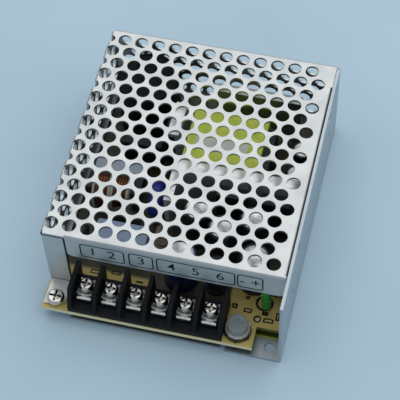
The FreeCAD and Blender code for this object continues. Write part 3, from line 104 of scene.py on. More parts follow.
def finish(name, colours, grain, roughness, metallic=0.0, relief=0.0, stretch=(1, 1, 1), extra=None,
           recess_shade=0.0, shade_boxes=()):
    """A real surface: two near tones in cloudy patches, with roughness and relief that follow its grain.

    A grain too fine to show is given as coarse as it needs to show. Painted shade darkens recesses as far out as
    the given reach, and what lies inside the given boxes is painted as dark as that shade.
    """
    material, tree, place = start_finish(name)
    pattern = add_node(tree, "ShaderNodeMapping", inputs={"Vector": place, "Scale": stretch}).outputs[0]
    cloud = add_node(tree, "ShaderNodeTexNoise", inputs={"Vector": pattern, "Scale": 1 / grain, "Detail": 3.0})
    spread = add_node(tree, "ShaderNodeMapRange", inputs={
        "Value": cloud.outputs[0], "From Min": 0.3, "From Max": 0.7}).outputs[0]
    rough = add_node(tree, "ShaderNodeMapRange", inputs={
        "Value": spread, "To Min": roughness[0], "To Max": roughness[1]})
    tone = add_node(tree, "ShaderNodeMix", COLOUR_MIX, {
        0: spread, 6: linear(colours[0]), 7: linear(colours[1])}).outputs[2]
    # Painted shade: ambient occlusion darkens recesses and the joints round them.
    if recess_shade:
        hollow = add_node(tree, "ShaderNodeAmbientOcclusion", {"only_local": True, "samples": SHADE_RAYS}, {
            "Distance": recess_shade})
        open_to_light = add_node(tree, "ShaderNodeMapRange", inputs={
            "Value": hollow.outputs["AO"], "From Min": 0.35, "From Max": 0.85})
        tone = add_node(tree, "ShaderNodeMix", COLOUR_MIX, {
            0: open_to_light.outputs[0], 6: linear(PAINTED_SHADE), 7: tone}).outputs[2]
    # Painted shade: whatever lies inside the given boxes is painted dark.
    for low, high in shade_boxes:
        axes = add_node(tree, "ShaderNodeSeparateXYZ", inputs={"Vector": place}).outputs
        inside = 1.0
        for axis, least, most in zip(axes, low, high):
            for operation, limit in (("GREATER_THAN", least), ("LESS_THAN", most)):
                held = add_node(tree, "ShaderNodeMath", {"operation": operation}, {0: axis, 1: limit})
                inside = add_node(tree, "ShaderNodeMath", {"operation": "MULTIPLY"}, {
                    0: held.outputs[0], 1: inside}).outputs[0]
        tone = add_node(tree, "ShaderNodeMix", COLOUR_MIX, {0: inside, 6: tone, 7: linear(PAINTED_SHADE)}).outputs[2]
    inputs = {"Base Color": tone, "Roughness": rough.outputs[0], "Metallic": metallic}
    if relief:
        fine = add_node(tree, "ShaderNodeTexNoise", inputs={"Vector": pattern, "Scale": 4 / grain, "Detail": 2.0})
        bump = add_node(tree, "ShaderNodeBump", inputs={
            "Height": fine.outputs[0], "Strength": 0.6, "Distance": relief})
        inputs["Normal"] = bump.outputs[0]
    inputs.update(extra or {})
    end_finish(tree, inputs)
    return material


def dress(material, *names):
    """Gives a node that stays as modelled its real material."""
    for name in names:
        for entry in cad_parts[name].material_slots:
            entry.material = material


SHEET = 0.8 * MM
SEAM_SHADE_WIDTH = 0.35 * MM
CASE_LEFT = cad_box[0][0]
LIP_FACE = cad_box[0][1] + 11.0 * MM
PANEL_FRONT = LIP_FACE - SHEET
PANEL_BACK = LIP_FACE + SHEET
PANEL_RIGHT = CASE_LEFT + 8.0 * MM
PANEL_LOW = 7.0 * MM
PANEL_HIGH = 33.9 * MM
TOP_SEAM = PANEL_HIGH + 0.1 * MM
FOOT_LOW = PANEL_LOW - 0.05 * MM
FOOT_HIGH = PANEL_LOW + 0.3 * MM
# Painted shade in thin bands along the top, right and lower seams of the front panel.
seam_shade_bands = [
    ((CASE_LEFT, PANEL_FRONT, PANEL_HIGH - SEAM_SHADE_WIDTH), (PANEL_RIGHT, PANEL_BACK, TOP_SEAM)),
    ((PANEL_RIGHT - SEAM_SHADE_WIDTH, PANEL_FRONT, PANEL_LOW), (PANEL_RIGHT + SEAM_SHADE_WIDTH, PANEL_BACK, PANEL_HIGH)),
    ((CASE_LEFT, LIP_FACE - SEAM_SHADE_WIDTH, FOOT_LOW), (PANEL_RIGHT, PANEL_BACK, FOOT_HIGH)),
]
galvanised_steel = finish("galvanised_steel_satin", ("#CDCECC", "#C1C3C3"), 7.0 * MM, (0.34, 0.44), 1.0,
                          relief=0.008 * MM, shade_boxes=seam_shade_bands)
dress(galvanised_steel, "cover")

# Print on the lip
# Thin rounded frames and plain numbers, screen printed in blue-black ink on the folded lip over the terminals.
# The dry ink is nearly matt and lies 0.02 mm proud of the zinc.

ink = finish("printing_ink_blue_black", ("#080C11", "#10161C"), 1.2 * MM, (0.50, 0.65),
             extra={"Specular IOR Level": 0.2})
INK_THICKNESS = 0.02 * MM
FRAME_BOTTOM = 25.0 * MM
FRAME_TOP = 32.6 * MM
FRAME_MIDDLE = (FRAME_BOTTOM + FRAME_TOP) / 2
FRAME_LINE = 0.46 * MM
FRAME_CORNER = 1.3 * MM
NUMBER_HEIGHT = 6.0 * MM
NUMBER_WEIGHT = 0.01 * MM
UPRIGHT = (math.pi / 2, 0, 0)


def deselect():
    """Leaves nothing selected before the next operator."""
    bpy.ops.object.select_all(action="DESELECT")


def settle(piece):
    """Puts a piece's place into its mesh."""
    deselect()
    piece.select_set(True)
    bpy.context.view_layer.objects.active = piece
    bpy.ops.object.transform_apply(location=True, rotation=True, scale=True)


def own(piece, name, material, body="case"):
    """Names a finished piece, gives it its material, and lets it ride on its body."""
    settle(piece)
    piece.name = name
    piece.data.name = name
    if not piece.data.materials:
        piece.data.materials.append(material)
    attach(piece, body)
    return piece


def join(pieces):
    """One object from several."""
    for piece in pieces:
        settle(piece)
    deselect()
    for piece in pieces:
        piece.select_set(True)
    bpy.context.view_layer.objects.active = pieces[0]
    if len(pieces) > 1:
        bpy.ops.object.join()
    return pieces[0]


def keep_outline(line, rise):
    """Turns the face in edit mode into a printed line along its edge, raised by the ink's thickness."""
    bpy.ops.mesh.select_all(action="SELECT")
    bpy.ops.mesh.inset(thickness=line)
    bpy.ops.mesh.delete(type="FACE")
    bpy.ops.mesh.select_all(action="SELECT")
    bpy.ops.mesh.extrude_region_move(TRANSFORM_OT_translate={"value": rise})
    bpy.ops.mesh.select_all(action="SELECT")
    bpy.ops.mesh.normals_make_consistent(inside=False)
    bpy.ops.object.mode_set(mode="OBJECT")


def print_frame(left, right):
    """A rounded outline printed on the lip."""
    deselect()
    bpy.ops.mesh.primitive_plane_add(size=1, location=((left + right) / 2, LIP_FACE, FRAME_MIDDLE),
                                     rotation=UPRIGHT)
    piece = bpy.context.object
    piece.scale = (right - left, FRAME_TOP - FRAME_BOTTOM, 1)
    settle(piece)
    bpy.ops.object.mode_set(mode="EDIT")
    bpy.ops.mesh.select_all(action="SELECT")
    bpy.ops.mesh.bevel(offset=FRAME_CORNER, segments=5, affect="VERTICES")
    keep_outline(FRAME_LINE, (0, -INK_THICKNESS, 0))
    return piece


def print_figures(figures, middle):
    """Plain figures printed on the lip."""
    deselect()
    bpy.ops.object.text_add(location=(middle, LIP_FACE, FRAME_MIDDLE), rotation=UPRIGHT)
    piece = bpy.context.object
    piece.data.body = figures
    piece.data.size = NUMBER_HEIGHT
    piece.data.align_x = "CENTER"
    piece.data.align_y = "CENTER"
    piece.data.extrude = INK_THICKNESS / 2
    piece.data.offset = NUMBER_WEIGHT
    piece.data.resolution_u = 3
    deselect()
    piece.select_set(True)
    bpy.ops.object.convert(target="MESH")
    return bpy.context.object


# Each frame's left and right ends in mm, and what is printed in it.
frames = [(-28.0, -13.0, "1  2"), (-11.7, -3.4, "3"), (-2.5, 23.5, "4   5   6"), (24.0, 32.6, "- +")]
for number, (left, right, figures) in enumerate(frames, start=1):
    lip_print = [print_frame(left * MM, right * MM), print_figures(figures, (left + right) / 2 * MM)]
    own(join(lip_print), "lip_print_%d" % number, ink)

# Chassis
# A flat plate with one full-height wall and low upstands, folded from 1 mm sheet. Its mill finish is bluer and
# duller than the cover's zinc, with rolling lines along its length, drawn coarser than they are so that they show.

rolled_sheet = finish("mill_finish_sheet", ("#BAC2C6", "#B1B9BE"), 1.6 * MM, (0.42, 0.54), 1.0,
                      relief=0.006 * MM, stretch=(1, 0.12, 1))
dress(rolled_sheet, "chassis")

# Screws
# Pressed steel screws with bright nickel plate: the countersunk pair in the chassis wall, the pan heads on the
# board, and the six in the terminal block. Painted shade darkens their recesses and the joints round their heads.

TERMINALS = range(1, 7)
nickel = finish("bright_nickel_plate", ("#E2DFD6", "#CFCCC4"), 1.6 * MM, (0.12, 0.20), 1.0, relief=0.004 * MM,
                recess_shade=1.2 * MM)
dress(nickel, "cover_side_screws", "board_screws", *["terminal_screw_%d" % n for n in TERMINALS])

# Board pillars and insulating film
# Turned steel pillars pressed into the plate, and a sheet of polyester film that keeps the solder side of the
# board away from the metal. The film is painted dark olive for the board's shade over it, and a narrow band behind
# its cut front edge is painted pale as a highlight.

turned_steel = finish("turned_steel", ("#A9ABAC", "#8F9293"), 0.8 * MM, (0.25, 0.38), 1.0)
dress(turned_steel, "board_standoffs")

FILM_HIGHLIGHT_WIDTH = 0.6 * MM
FILM_GRAIN = 6.0 * MM
film_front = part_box("insulating_film")[0][1]
polyester_film, tree, place = start_finish("polyester_film")
axes = add_node(tree, "ShaderNodeSeparateXYZ", inputs={"Vector": place})
# Painted highlight on a narrow band behind the cut front edge; the rest of the film is painted in shade.
highlight_band = add_node(tree, "ShaderNodeMath", {"operation": "LESS_THAN"}, {
    0: axes.outputs["Y"], 1: film_front + FILM_HIGHLIGHT_WIDTH})
wave = add_node(tree, "ShaderNodeTexNoise", inputs={"Vector": place, "Scale": 1 / FILM_GRAIN, "Detail": 2.0})
shaded, lit = [
    add_node(tree, "ShaderNodeMix", COLOUR_MIX, {0: wave.outputs[0], 6: linear(deep), 7: linear(pale)}).outputs[2]
    for deep, pale in (("#3D4911", "#4E5B1B"), ("#96A23C", "#A9B44E"))
]
film_tone = add_node(tree, "ShaderNodeMix", COLOUR_MIX, {0: highlight_band.outputs[0], 6: shaded, 7: lit})
end_finish(tree, {"Base Color": film_tone.outputs[2], "Roughness": 0.3})
dress(polyester_film, "insulating_film")

# Circuit board
# Paper-base laminate, 1.6 mm thick: tan under clear lacquer on the parts side, green solder resist below, a cream
# sheared front edge and olive sawn ones. The lacquer is drawn dark where the cover shades it, from a line that
# steps forward at the output end. The parts side has black printed outlines and rings, a painted shadow in front
# of the lamp's foot, and two nickel pads.

LAMINATE_GRAIN = 2.5 * MM
LAMINATE_RELIEF = 0.02 * MM
FRONT_EDGE = -49.3 * MM
SHADE_LINE = (-32.4 * MM, -31.0 * MM)
SHADE_LINE_AT_LAMP = (-29.5 * MM, -27.0 * MM)
OUTPUT_END = (-7.0 * MM, -6.0 * MM)
OUTPUT_STEP = 8.0 * MM
LAMP_END = (20.6 * MM, 19.8 * MM)
laminate_tones = {
    "front": ("#B49D50", "#D6C070"),
    "shaded": ("#332F1E", "#46412B"),
    "sawn": ("#4A570F", "#636B1C"),
    "sheared": ("#E6DBAE", "#F2E9C4"),
    "under": ("#2F4A1C", "#446428"),
}

laminate, tree, place = start_finish("paper_laminate_board")
fibre = add_node(tree, "ShaderNodeTexNoise", inputs={
    "Vector": place, "Scale": 1 / LAMINATE_GRAIN, "Detail": 5.0}).outputs[0]
tones = {}
for part, (deep, pale) in laminate_tones.items():
    tones[part] = add_node(tree, "ShaderNodeMix", COLOUR_MIX, {
        0: fibre, 6: linear(deep), 7: linear(pale)}).outputs[2]

across, along, _ = add_node(tree, "ShaderNodeSeparateXYZ", inputs={"Vector": place}).outputs
off_lamp = add_node(tree, "ShaderNodeMapRange", inputs={
    "Value": across, "From Min": LAMP_END[0], "From Max": LAMP_END[1]})
step = add_node(tree, "ShaderNodeMapRange", inputs={
    "Value": across, "From Min": OUTPUT_END[0], "From Max": OUTPUT_END[1], "To Max": OUTPUT_STEP})
reach = add_node(tree, "ShaderNodeMath", {"operation": "ADD"}, {0: along, 1: step.outputs[0]})
behind = add_node(tree, "ShaderNodeMapRange", inputs={
    "Value": reach.outputs[0], "From Min": SHADE_LINE[0], "From Max": SHADE_LINE[1]})
behind_block = add_node(tree, "ShaderNodeMath", {"operation": "MULTIPLY"}, {
    0: behind.outputs[0], 1: off_lamp.outputs[0]})
behind_lamp = add_node(tree, "ShaderNodeMapRange", inputs={
    "Value": along, "From Min": SHADE_LINE_AT_LAMP[0], "From Max": SHADE_LINE_AT_LAMP[1]})
in_shade = add_node(tree, "ShaderNodeMath", {"operation": "MAXIMUM"}, {
    0: behind_block.outputs[0], 1: behind_lamp.outputs[0]})
parts_side = add_node(tree, "ShaderNodeMix", COLOUR_MIX, {
    0: in_shade.outputs[0], 6: tones["front"], 7: tones["shaded"]}).outputs[2]

normal = add_node(tree, "ShaderNodeNewGeometry").outputs["Normal"]
facing = add_node(tree, "ShaderNodeSeparateXYZ", inputs={"Vector": normal}).outputs["Z"]
board_tone = tones["sawn"]
for measure, operation, limit, tone in (
        (along, "LESS_THAN", FRONT_EDGE, tones["sheared"]),
        (facing, "GREATER_THAN", 0.5, parts_side),
        (facing, "LESS_THAN", -0.5, tones["under"])):
    chosen = add_node(tree, "ShaderNodeMath", {"operation": operation}, {0: measure, 1: limit})
    board_tone = add_node(tree, "ShaderNodeMix", COLOUR_MIX, {
        0: chosen.outputs[0], 6: board_tone, 7: tone}).outputs[2]
bump = add_node(tree, "ShaderNodeBump", inputs={"Height": fibre, "Strength": 0.3, "Distance": LAMINATE_RELIEF})
end_finish(tree, {"Base Color": board_tone, "Roughness": 0.42, "Normal": bump.outputs[0]})
dress(laminate, "circuit_board")

BOARD_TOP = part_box("circuit_board")[1][2]
RING_SIDES = 28


def printed_ring(x, y, radius, line):
    """A printed circle on the board, all in mm."""
    deselect()
    bpy.ops.mesh.primitive_circle_add(vertices=RING_SIDES, radius=radius * MM, fill_type="NGON",
                                      location=(x * MM, y * MM, BOARD_TOP))
    piece = bpy.context.object
    bpy.ops.object.mode_set(mode="EDIT")
    keep_outline(line * MM, (0, 0, INK_THICKNESS))
    return piece


def printed_box(x, y, width, depth, line):
    """A printed rectangle on the board, all in mm."""
    deselect()
    bpy.ops.mesh.primitive_plane_add(size=1, location=(x * MM, y * MM, BOARD_TOP))
    piece = bpy.context.object
    piece.scale = (width * MM, depth * MM, 1)
    settle(piece)
    bpy.ops.object.mode_set(mode="EDIT")
    keep_outline(line * MM, (0, 0, INK_THICKNESS))
    return piece


board_print_and_shadow = [
    # Round the trimmer, the lamp and a pad.
    printed_ring(25.4, -44.2, 4.6, 0.3),
    printed_ring(31.9, -32.2, 3.0, 0.8),
    printed_ring(30.7, -38.5, 1.35, 0.55),
    # Between the trimmer, the lamp and the chassis wall.
    printed_box(27.0, -36.0, 2.8, 1.7, 0.5),
    printed_box(37.2, -36.3, 1.4, 3.0, 0.5),
    printed_box(34.4, -38.4, 3.4, 1.7, 0.5),
    # Painted shadow: a nearly filled dark patch in front of the lamp's foot.
    printed_box(32.8, -36.0, 2.0, 1.5, 0.7),
    printed_box(22.4, -35.2, 1.9, 1.9, 0.65),
    printed_box(26.0, -31.2, 1.4, 1.4, 0.5),
    # Behind the first three terminals.
    printed_box(-26.0, -32.6, 4.4, 1.6, 0.4),
    printed_box(-10.9, -33.4, 2.4, 0.7, 0.35),
    printed_box(-19.5, -31.6, 3.2, 1.4, 0.4),
    printed_ring(-34.6, -22.1, 4.5, 0.25),
]
own(join(board_print_and_shadow), "board_print_and_shadow", ink)
pads = [printed_ring(30.7, -38.5, 0.8, 0.45), printed_ring(28.3, -46.6, 0.6, 0.35)]
own(join(pads), "board_pads", nickel)

# Terminal block
# A black moulding of glass-filled nylon with seven upright barriers, and nickel-plated contacts and wire clamps
# with black oxide spring washers. The clamps are tumbled, so their plate is paler and softer than the contacts'.

black_nylon = finish("black_filled_nylon", ("#06080D", "#0D1018"), 0.9 * MM, (0.50, 0.64), relief=0.02 * MM,
                     extra={"Specular IOR Level": 0.22})
dress(black_nylon, "terminal_housing")
stamped_nickel = finish("stamped_nickel", ("#D9D8D2", "#C2C1BB"), 1.6 * MM, (0.20, 0.30), 1.0, relief=0.004 * MM)
dress(stamped_nickel, "terminal_contacts")
tumbled_nickel = finish("tumbled_nickel_plate", ("#F0EFEA", "#DEDDD7"), 1.2 * MM, (0.34, 0.44), 0.75)
dress(tumbled_nickel, *["terminal_clamp_%d" % n for n in TERMINALS])
black_oxide = finish("black_oxide_steel", ("#1B1C1F", "#292A2D"), 0.8 * MM, (0.34, 0.46), 0.6)
dress(black_oxide, *["spring_washer_%d" % n for n in TERMINALS])

# Trimmer
# A small open potentiometer: dark moulded base, bright stamped wiper ring, and a grey cap with a shallow cross
# for a screwdriver. The mouldings have a fine, even grain, and the ring a soft tin shine.

dark_moulding = finish("dark_phenolic", ("#1C1B1B", "#2A2826"), 0.8 * MM, (0.40, 0.55), relief=0.01 * MM)
dress(dark_moulding, "trimmer_base")
tinned_brass = finish("tinned_stamping", ("#D9D5CE", "#C8C4BD"), 1.0 * MM, (0.34, 0.46), 0.35)
dress(tinned_brass, "trimmer_skirt")
grey_moulding = finish("grey_moulding", ("#858D8E", "#798182"), 1.0 * MM, (0.38, 0.50), relief=0.012 * MM)
dress(grey_moulding, "trimmer_cap")

# Indicator lamp
# A lamp cast in green tinted epoxy on two bare leads, with a green moulded sleeve that keeps it at its height.
# The cast lamp is glossier than its sleeve.

green_sleeve = finish("green_moulded_sleeve", ("#0E7F27", "#118C2C"), 1.5 * MM, (0.28, 0.38))
dress(green_sleeve, "lamp_sleeve")
green_epoxy = finish("green_tinted_epoxy", ("#149A33", "#0F8A2B"), 2.0 * MM, (0.10, 0.18))
dress(green_epoxy, "indicator_lamp")

# Mains side
# Round fuse, dipped discs, a pale boxed film capacitor and a black bridge rectifier stand round the choke.
# The dipped parts have a waxy, uneven skin, and the boxes a smooth moulded one.

fuse_case = finish("brown_fuse_case", ("#4A3E2E", "#5C4E3A"), 1.5 * MM, (0.30, 0.40))
dress(fuse_case, "fuse")
green_dip = finish("dark_green_dip_coat", ("#1B3020", "#26402B"), 1.4 * MM, (0.40, 0.60), relief=0.06 * MM)
dress(green_dip, "inrush_thermistor")
grey_dip = finish("dark_grey_dip_coat", ("#24272B", "#31353A"), 1.4 * MM, (0.40, 0.60), relief=0.06 * MM)
dress(grey_dip, "varistor")
blue_dip = finish("blue_dip_coat", ("#1B2E8C", "#2A3E9E"), 1.6 * MM, (0.25, 0.40), relief=0.05 * MM)
dress(blue_dip, "disc_capacitor")
pale_box = finish("pale_moulded_box", ("#8FA4BF", "#9CB0CA"), 3.0 * MM, (0.30, 0.40), relief=0.01 * MM)
dress(pale_box, "x_capacitor")
black_epoxy = finish("black_moulding_compound", ("#0F1114", "#191B1E"), 0.6 * MM, (0.45, 0.60), relief=0.015 * MM)
dress(black_epoxy, "bridge_rectifier", "switching_transistor", "output_diodes", "optocoupler", "controller_chip")

# Mains choke
# Two sections of enamelled copper wire, 0.9 mm thick, wound on a pale split bobbin that slides over one leg of a
# closed ferrite frame. A pale woven glass tape lies across the frame's rear leg.

ferrite = finish("sintered_ferrite", ("#1A1D20", "#272A2E"), 0.7 * MM, (0.45, 0.65), relief=0.02 * MM)
dress(ferrite, "choke_core", "transformer_core", "output_choke")
pale_bobbin = finish("pale_bobbin", ("#B5B1A3", "#C4C1B4"), 2.0 * MM, (0.30, 0.42))
dress(pale_bobbin, "choke_bobbin")

WIRE = 0.9 * MM
SECTION_SHARE = 0.43
TURN_LEAN = 0.03
TURN_UNEVEN = 0.12 * MM
copper = finish("enamelled_copper", ("#9A6444", "#74482F"), 1.8 * MM, (0.22, 0.36), 0.8)
low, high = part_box("choke_windings")
coil_height = high[2] - low[2]
coil_y = (low[1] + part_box("choke_bobbin")[0][1]) / 2 + coil_height / 2
coil_z = (low[2] + high[2]) / 2
coil_radius = coil_height / 2 - WIRE / 2
section_length = (high[0] - low[0]) * SECTION_SHARE
turn_count = int(section_length / WIRE)
turns = []
for start in (low[0], high[0] - section_length):
    for turn in range(turn_count):
        deselect()
        bpy.ops.mesh.primitive_torus_add(
            location=(start + (turn + 0.5) * section_length / turn_count, coil_y, coil_z),
            rotation=(0, math.pi / 2 + TURN_LEAN, 0),
            major_radius=coil_radius - (turn % 2) * TURN_UNEVEN, minor_radius=WIRE / 2,
            major_segments=32, minor_segments=8)
        bpy.ops.object.shade_smooth()
        turns.append(bpy.context.object)
coils = own(join(turns), "choke_coils", copper)
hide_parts("choke_windings")

THIN_EDGE = 0.02 * MM


def thin_bar(place, size, turn=0.0, segments=2):
    """A thin flat bar with rounded edges, turned about its upright axis."""
    deselect()
    bpy.ops.mesh.primitive_cube_add(size=1, location=place, rotation=(0, 0, turn))
    piece = bpy.context.object
    piece.scale = size
    settle(piece)
    bpy.ops.object.mode_set(mode="EDIT")
    bpy.ops.mesh.select_all(action="SELECT")
    bpy.ops.mesh.bevel(offset=THIN_EDGE, segments=segments, affect="EDGES")
    bpy.ops.object.mode_set(mode="OBJECT")
    return piece


BAND_WIDTH = 5.0 * MM
BAND_MARGIN = 1.0 * MM
BAND_THICKNESS = 0.06 * MM
glass_tape = finish("pale_glass_tape", ("#A9B7C6", "#BAC6D2"), 1.2 * MM, (0.40, 0.55), relief=0.02 * MM)
low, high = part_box("choke_core")
band = thin_bar(((low[0] + high[0]) / 2, high[1] - BAND_WIDTH / 2, high[2] + BAND_THICKNESS / 2),
                (high[0] - low[0] - 2 * BAND_MARGIN, BAND_WIDTH, BAND_THICKNESS))
own(band, "choke_tape", glass_tape)

# Electrolytic capacitors
# Drawn aluminium cans in dark, blue or black shrink sleeves that roll over the rim. The foot has a rolled groove.
# A bare top is stamped with a cross, along which it opens if pressure builds.

GROOVE_DEPTH = 0.45 * MM
SLEEVE_ROLL = 0.9 * MM
TOP_SINK = 0.25 * MM
# Steps in from the can's radius, and heights above its foot.
foot_outline = [
    (0.5 * MM, 0.0), (0.05 * MM, 0.4 * MM), (0.0, 1.4 * MM), (GROOVE_DEPTH, 2.0 * MM), (GROOVE_DEPTH, 2.5 * MM),
    (0.0, 3.1 * MM),
]
# Steps in from the can's radius, and depths below its top.
rim_outline = [
    (0.0, 0.5 * MM), (0.18 * MM, 0.14 * MM), (0.5 * MM, 0.0), (SLEEVE_ROLL, 0.04 * MM),
    (SLEEVE_ROLL + 0.06 * MM, TOP_SINK),
]
CAN_SIDES = 48
CAN_CREASE = math.radians(40)
TOP_MARGIN = 0.02 * MM
VENTS = 2
VENT_TURN = 0.6
VENT_REACH = 1.4
VENT_LINE = 0.18 * MM
VENT_RISE = 0.06 * MM
bare_top = finish("drawn_aluminium_top", ("#DFE0DF", "#C6C8C8"), 1.5 * MM, (0.16, 0.26), 0.95, relief=0.03 * MM)
dark_sleeve = finish("dark_shrink_sleeve", ("#15171C", "#1F222A"), 4.0 * MM, (0.25, 0.36), relief=0.02 * MM)
blue_sleeve = finish("dark_blue_shrink_sleeve", ("#10194A", "#17225C"), 4.0 * MM, (0.24, 0.34), relief=0.02 * MM)
black_sleeve = finish("black_shrink_sleeve", ("#0B0E0F", "#131618"), 5.0 * MM, (0.42, 0.55), relief=0.03 * MM,
                      extra={"Specular IOR Level": 0.15})


def turned_form(rings, x, y):
    """A disc grown upwards ring by ring, each ring (radius, height), with smooth sides and sharp creases."""
    deselect()
    bpy.ops.mesh.primitive_circle_add(vertices=CAN_SIDES, radius=rings[0][0], fill_type="NGON",
                                      location=(x, y, rings[0][1]))
    piece = bpy.context.object
    bpy.ops.object.mode_set(mode="EDIT")
    bpy.ops.mesh.select_all(action="SELECT")
    for (radius, height), (next_radius, next_height) in zip(rings, rings[1:]):
        bpy.ops.mesh.extrude_region_move(TRANSFORM_OT_translate={"value": (0, 0, next_height - height)})
        ratio = next_radius / radius
        bpy.ops.transform.resize(value=(ratio, ratio, 1), center_override=(x, y, next_height))
    bpy.ops.mesh.select_all(action="SELECT")
    bpy.ops.mesh.normals_make_consistent(inside=False)
    bpy.ops.object.mode_set(mode="OBJECT")
    settle(piece)
    bpy.ops.object.shade_smooth_by_angle(angle=CAN_CREASE)
    return piece


def capacitor(x, y, radius, foot, top, sleeve, cap, vents):
    """One sleeved can with its stamped top."""
    inner = radius - SLEEVE_ROLL
    rings = [(radius - inwards, foot + height) for inwards, height in foot_outline]
    rings += [(radius - inwards, top - depth) for inwards, depth in rim_outline]
    rings.append((inner / 2, top - TOP_SINK))
    body = turned_form(rings, x, y)
    body.data.materials.append(sleeve)
    body.data.materials.append(cap)
    for face in body.data.polygons:
        on_top = face.normal.z > 0.9 and face.center.z > (foot + top) / 2
        bare = math.hypot(face.center.x - x, face.center.y - y) < inner - TOP_MARGIN
        face.material_index = 1 if on_top and bare else 0
    parts = [body]
    for vent in range(vents):
        bar = thin_bar((x, y, top - TOP_SINK), (inner * VENT_REACH, VENT_LINE, VENT_RISE),
                       turn=VENT_TURN + vent * math.pi / vents, segments=1)
        bar.data.materials.append(cap)
        parts.append(bar)
    return join(parts)


def can_from(node, sleeve, cap, vents):
    """The detailed can in a plain node's place."""
    low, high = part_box(node)
    piece = capacitor((low[0] + high[0]) / 2, (low[1] + high[1]) / 2, (high[0] - low[0]) / 2, low[2], high[2],
                      sleeve, cap, vents)
    own(piece, node + "_can", sleeve)
    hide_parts(node)


for number in range(1, 5):
    can_from("output_capacitor_%d" % number, dark_sleeve, bare_top, VENTS)
can_from("filter_capacitor", blue_sleeve, bare_top, VENTS)
can_from("bulk_capacitor", black_sleeve, black_sleeve, 0)

SMALL_RADIUS = 4.0 * MM
low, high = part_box("small_capacitors")
small_cans = []
for x, y in ((high[0] - SMALL_RADIUS, high[1] - SMALL_RADIUS), (low[0] + SMALL_RADIUS, low[1] + SMALL_RADIUS)):
    small_cans.append(capacitor(x, y, SMALL_RADIUS, low[2], high[2], dark_sleeve, bare_top, VENTS))
pair = own(join(small_cans), "small_cans", dark_sleeve)
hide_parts("small_capacitors")

# Heatsinks
# Pressed from 1.5 mm aluminium sheet. The one beside the transistor and the one beside the output diodes are left
# bright, with fine scratches from handling, and the rear one is duller.

bright_aluminium = finish("bright_aluminium_sheet", ("#EEEFEF", "#DCDEDF"), 1.2 * MM, (0.28, 0.42), 0.8,
                          relief=0.01 * MM, stretch=(0.2, 1, 1))
dress(bright_aluminium, "primary_heatsink", "secondary_heatsink")
dull_aluminium = finish("dull_aluminium_sheet", ("#A8AAA2", "#B8BAB2"), 2.0 * MM, (0.32, 0.44), 0.9,
                        relief=0.01 * MM)
dress(dull_aluminium, "rear_heatsink")

# Transformer
# A layered winding under turns of yellow polyester tape, between two ferrite halves on a dark moulded bobbin.
# The tape's edges show as faint steps, and a bare white strip is stuck across its top.

TAPE_WIDTH = 6.0 * MM
TAPE_STEP = 0.35 * MM
TAPE_CREASES = 2.2 * MM
TAPE_RELIEF = 0.2 * MM
tape, tree, place = start_finish("yellow_polyester_tape")
axes = add_node(tree, "ShaderNodeSeparateXYZ", inputs={"Vector": place})
laps = add_node(tree, "ShaderNodeMath", {"operation": "PINGPONG"}, {0: axes.outputs["Y"], 1: TAPE_WIDTH})
lap = add_node(tree, "ShaderNodeMapRange", inputs={
    "Value": laps.outputs[0], "From Min": 0.0, "From Max": TAPE_STEP})
crease = add_node(tree, "ShaderNodeTexNoise", inputs={
    "Vector": place, "Scale": 1 / TAPE_CREASES, "Detail": 4.0}).outputs[0]
level = add_node(tree, "ShaderNodeMath", {"operation": "MULTIPLY_ADD"}, {0: lap.outputs[0], 1: 0.6, 2: crease})
bump = add_node(tree, "ShaderNodeBump", inputs={
    "Height": level.outputs[0], "Strength": 0.6, "Distance": TAPE_RELIEF})
tape_tone = add_node(tree, "ShaderNodeMix", COLOUR_MIX, {0: crease, 6: linear("#BCD02C"), 7: linear("#ECF274")})
end_finish(tree, {"Base Color": tape_tone.outputs[2], "Roughness": 0.34, "Normal": bump.outputs[0]})
dress(tape, "transformer_winding")
dress(dark_moulding, "transformer_bobbin")

STRIP_LENGTH = 18.0 * MM
STRIP_DEPTH = 5.2 * MM
STRIP_THICKNESS = 0.06 * MM
STRIP_LEFT = 1.0 * MM
STRIP_FORWARD = 3.0 * MM
white_paper = finish("white_paper_strip", ("#E3E4DF", "#D5D6D0"), 3.0 * MM, (0.55, 0.70))
low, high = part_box("transformer_winding")
strip = thin_bar(((low[0] + high[0]) / 2 - STRIP_LEFT, (low[1] + high[1]) / 2 - STRIP_FORWARD,
                  high[2] + STRIP_THICKNESS / 2), (STRIP_LENGTH, STRIP_DEPTH, STRIP_THICKNESS))
own(strip, "transformer_strip", white_paper)

# Resistors
# Ceramic rods dipped in a grey-beige coat, lying low on bent tinned leads. The coat is matt and slightly uneven,
# and the leads, hardly seen under the cover, share its material.

resistor_coat = finish("grey_beige_coat", ("#8E8A7C", "#A19C8B"), 1.2 * MM, (0.45, 0.60), relief=0.03 * MM)
dress(resistor_coat, "resistors")

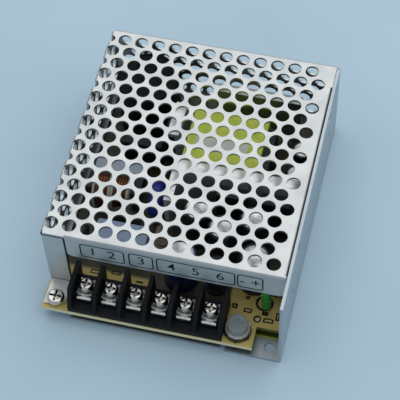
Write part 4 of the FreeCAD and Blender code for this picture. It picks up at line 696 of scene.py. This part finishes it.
# Studio
# A plain pale floor under one broad soft lamp, in a room that is a little brighter above than below, and the
# camera where the photograph was taken.

FLOOR_SIZE = 2.4
FLOOR_DROP = 0.05 * MM
floor_paint = finish("pale_blue_paper", ("#BCD5E3", "#B6CFDE"), 60 * MM, (0.70, 0.80))
deselect()
bpy.ops.mesh.primitive_plane_add(size=FLOOR_SIZE, location=(0, 0, -FLOOR_DROP))
floor = bpy.context.object
floor.name = "floor"
floor.data.materials.append(floor_paint)

SKY_TINT = "#DDE6EE"
SKY_LOW = 0.44
SKY_HIGH = 0.61
world = bpy.data.worlds.new("soft_studio")
world.use_nodes = True
sky = world.node_tree
sky.nodes.clear()
aim = add_node(sky, "ShaderNodeTexCoord").outputs["Generated"]
rise = add_node(sky, "ShaderNodeSeparateXYZ", inputs={"Vector": aim}).outputs["Z"]
glow = add_node(sky, "ShaderNodeMapRange", inputs={"Value": rise, "To Min": SKY_LOW, "To Max": SKY_HIGH})
fill = add_node(sky, "ShaderNodeBackground", inputs={"Color": linear(SKY_TINT), "Strength": glow.outputs[0]})
add_node(sky, "ShaderNodeOutputWorld", inputs={"Surface": fill.outputs[0]})
bpy.context.scene.world = world

LAMP_PLACE = (0.20, 0.40, 1.0)
LAMP_SIZE = 1.9
LAMP_POWER = 9.5
deselect()
bpy.ops.object.light_add(type="AREA", location=LAMP_PLACE)
lamp = bpy.context.object
lamp.data.size = LAMP_SIZE
lamp.data.energy = LAMP_POWER
lamp.rotation_euler = (math.atan2(-LAMP_PLACE[1], LAMP_PLACE[2]), 0, 0)

CAMERA_PLACE = (74.89 * MM, -253.68 * MM, 402.01 * MM)
CAMERA_TURN = (math.radians(34.0126), math.radians(1.6311), math.radians(13.5876))
CAMERA_LENS = 122.95
CAMERA_NEAR = 0.01
deselect()
bpy.ops.object.camera_add(location=CAMERA_PLACE, rotation=CAMERA_TURN)
camera = bpy.context.object
camera.data.lens = CAMERA_LENS
camera.data.clip_start = CAMERA_NEAR
bpy.context.scene.camera = camera
bpy.context.scene.view_settings.view_transform = "Standard"
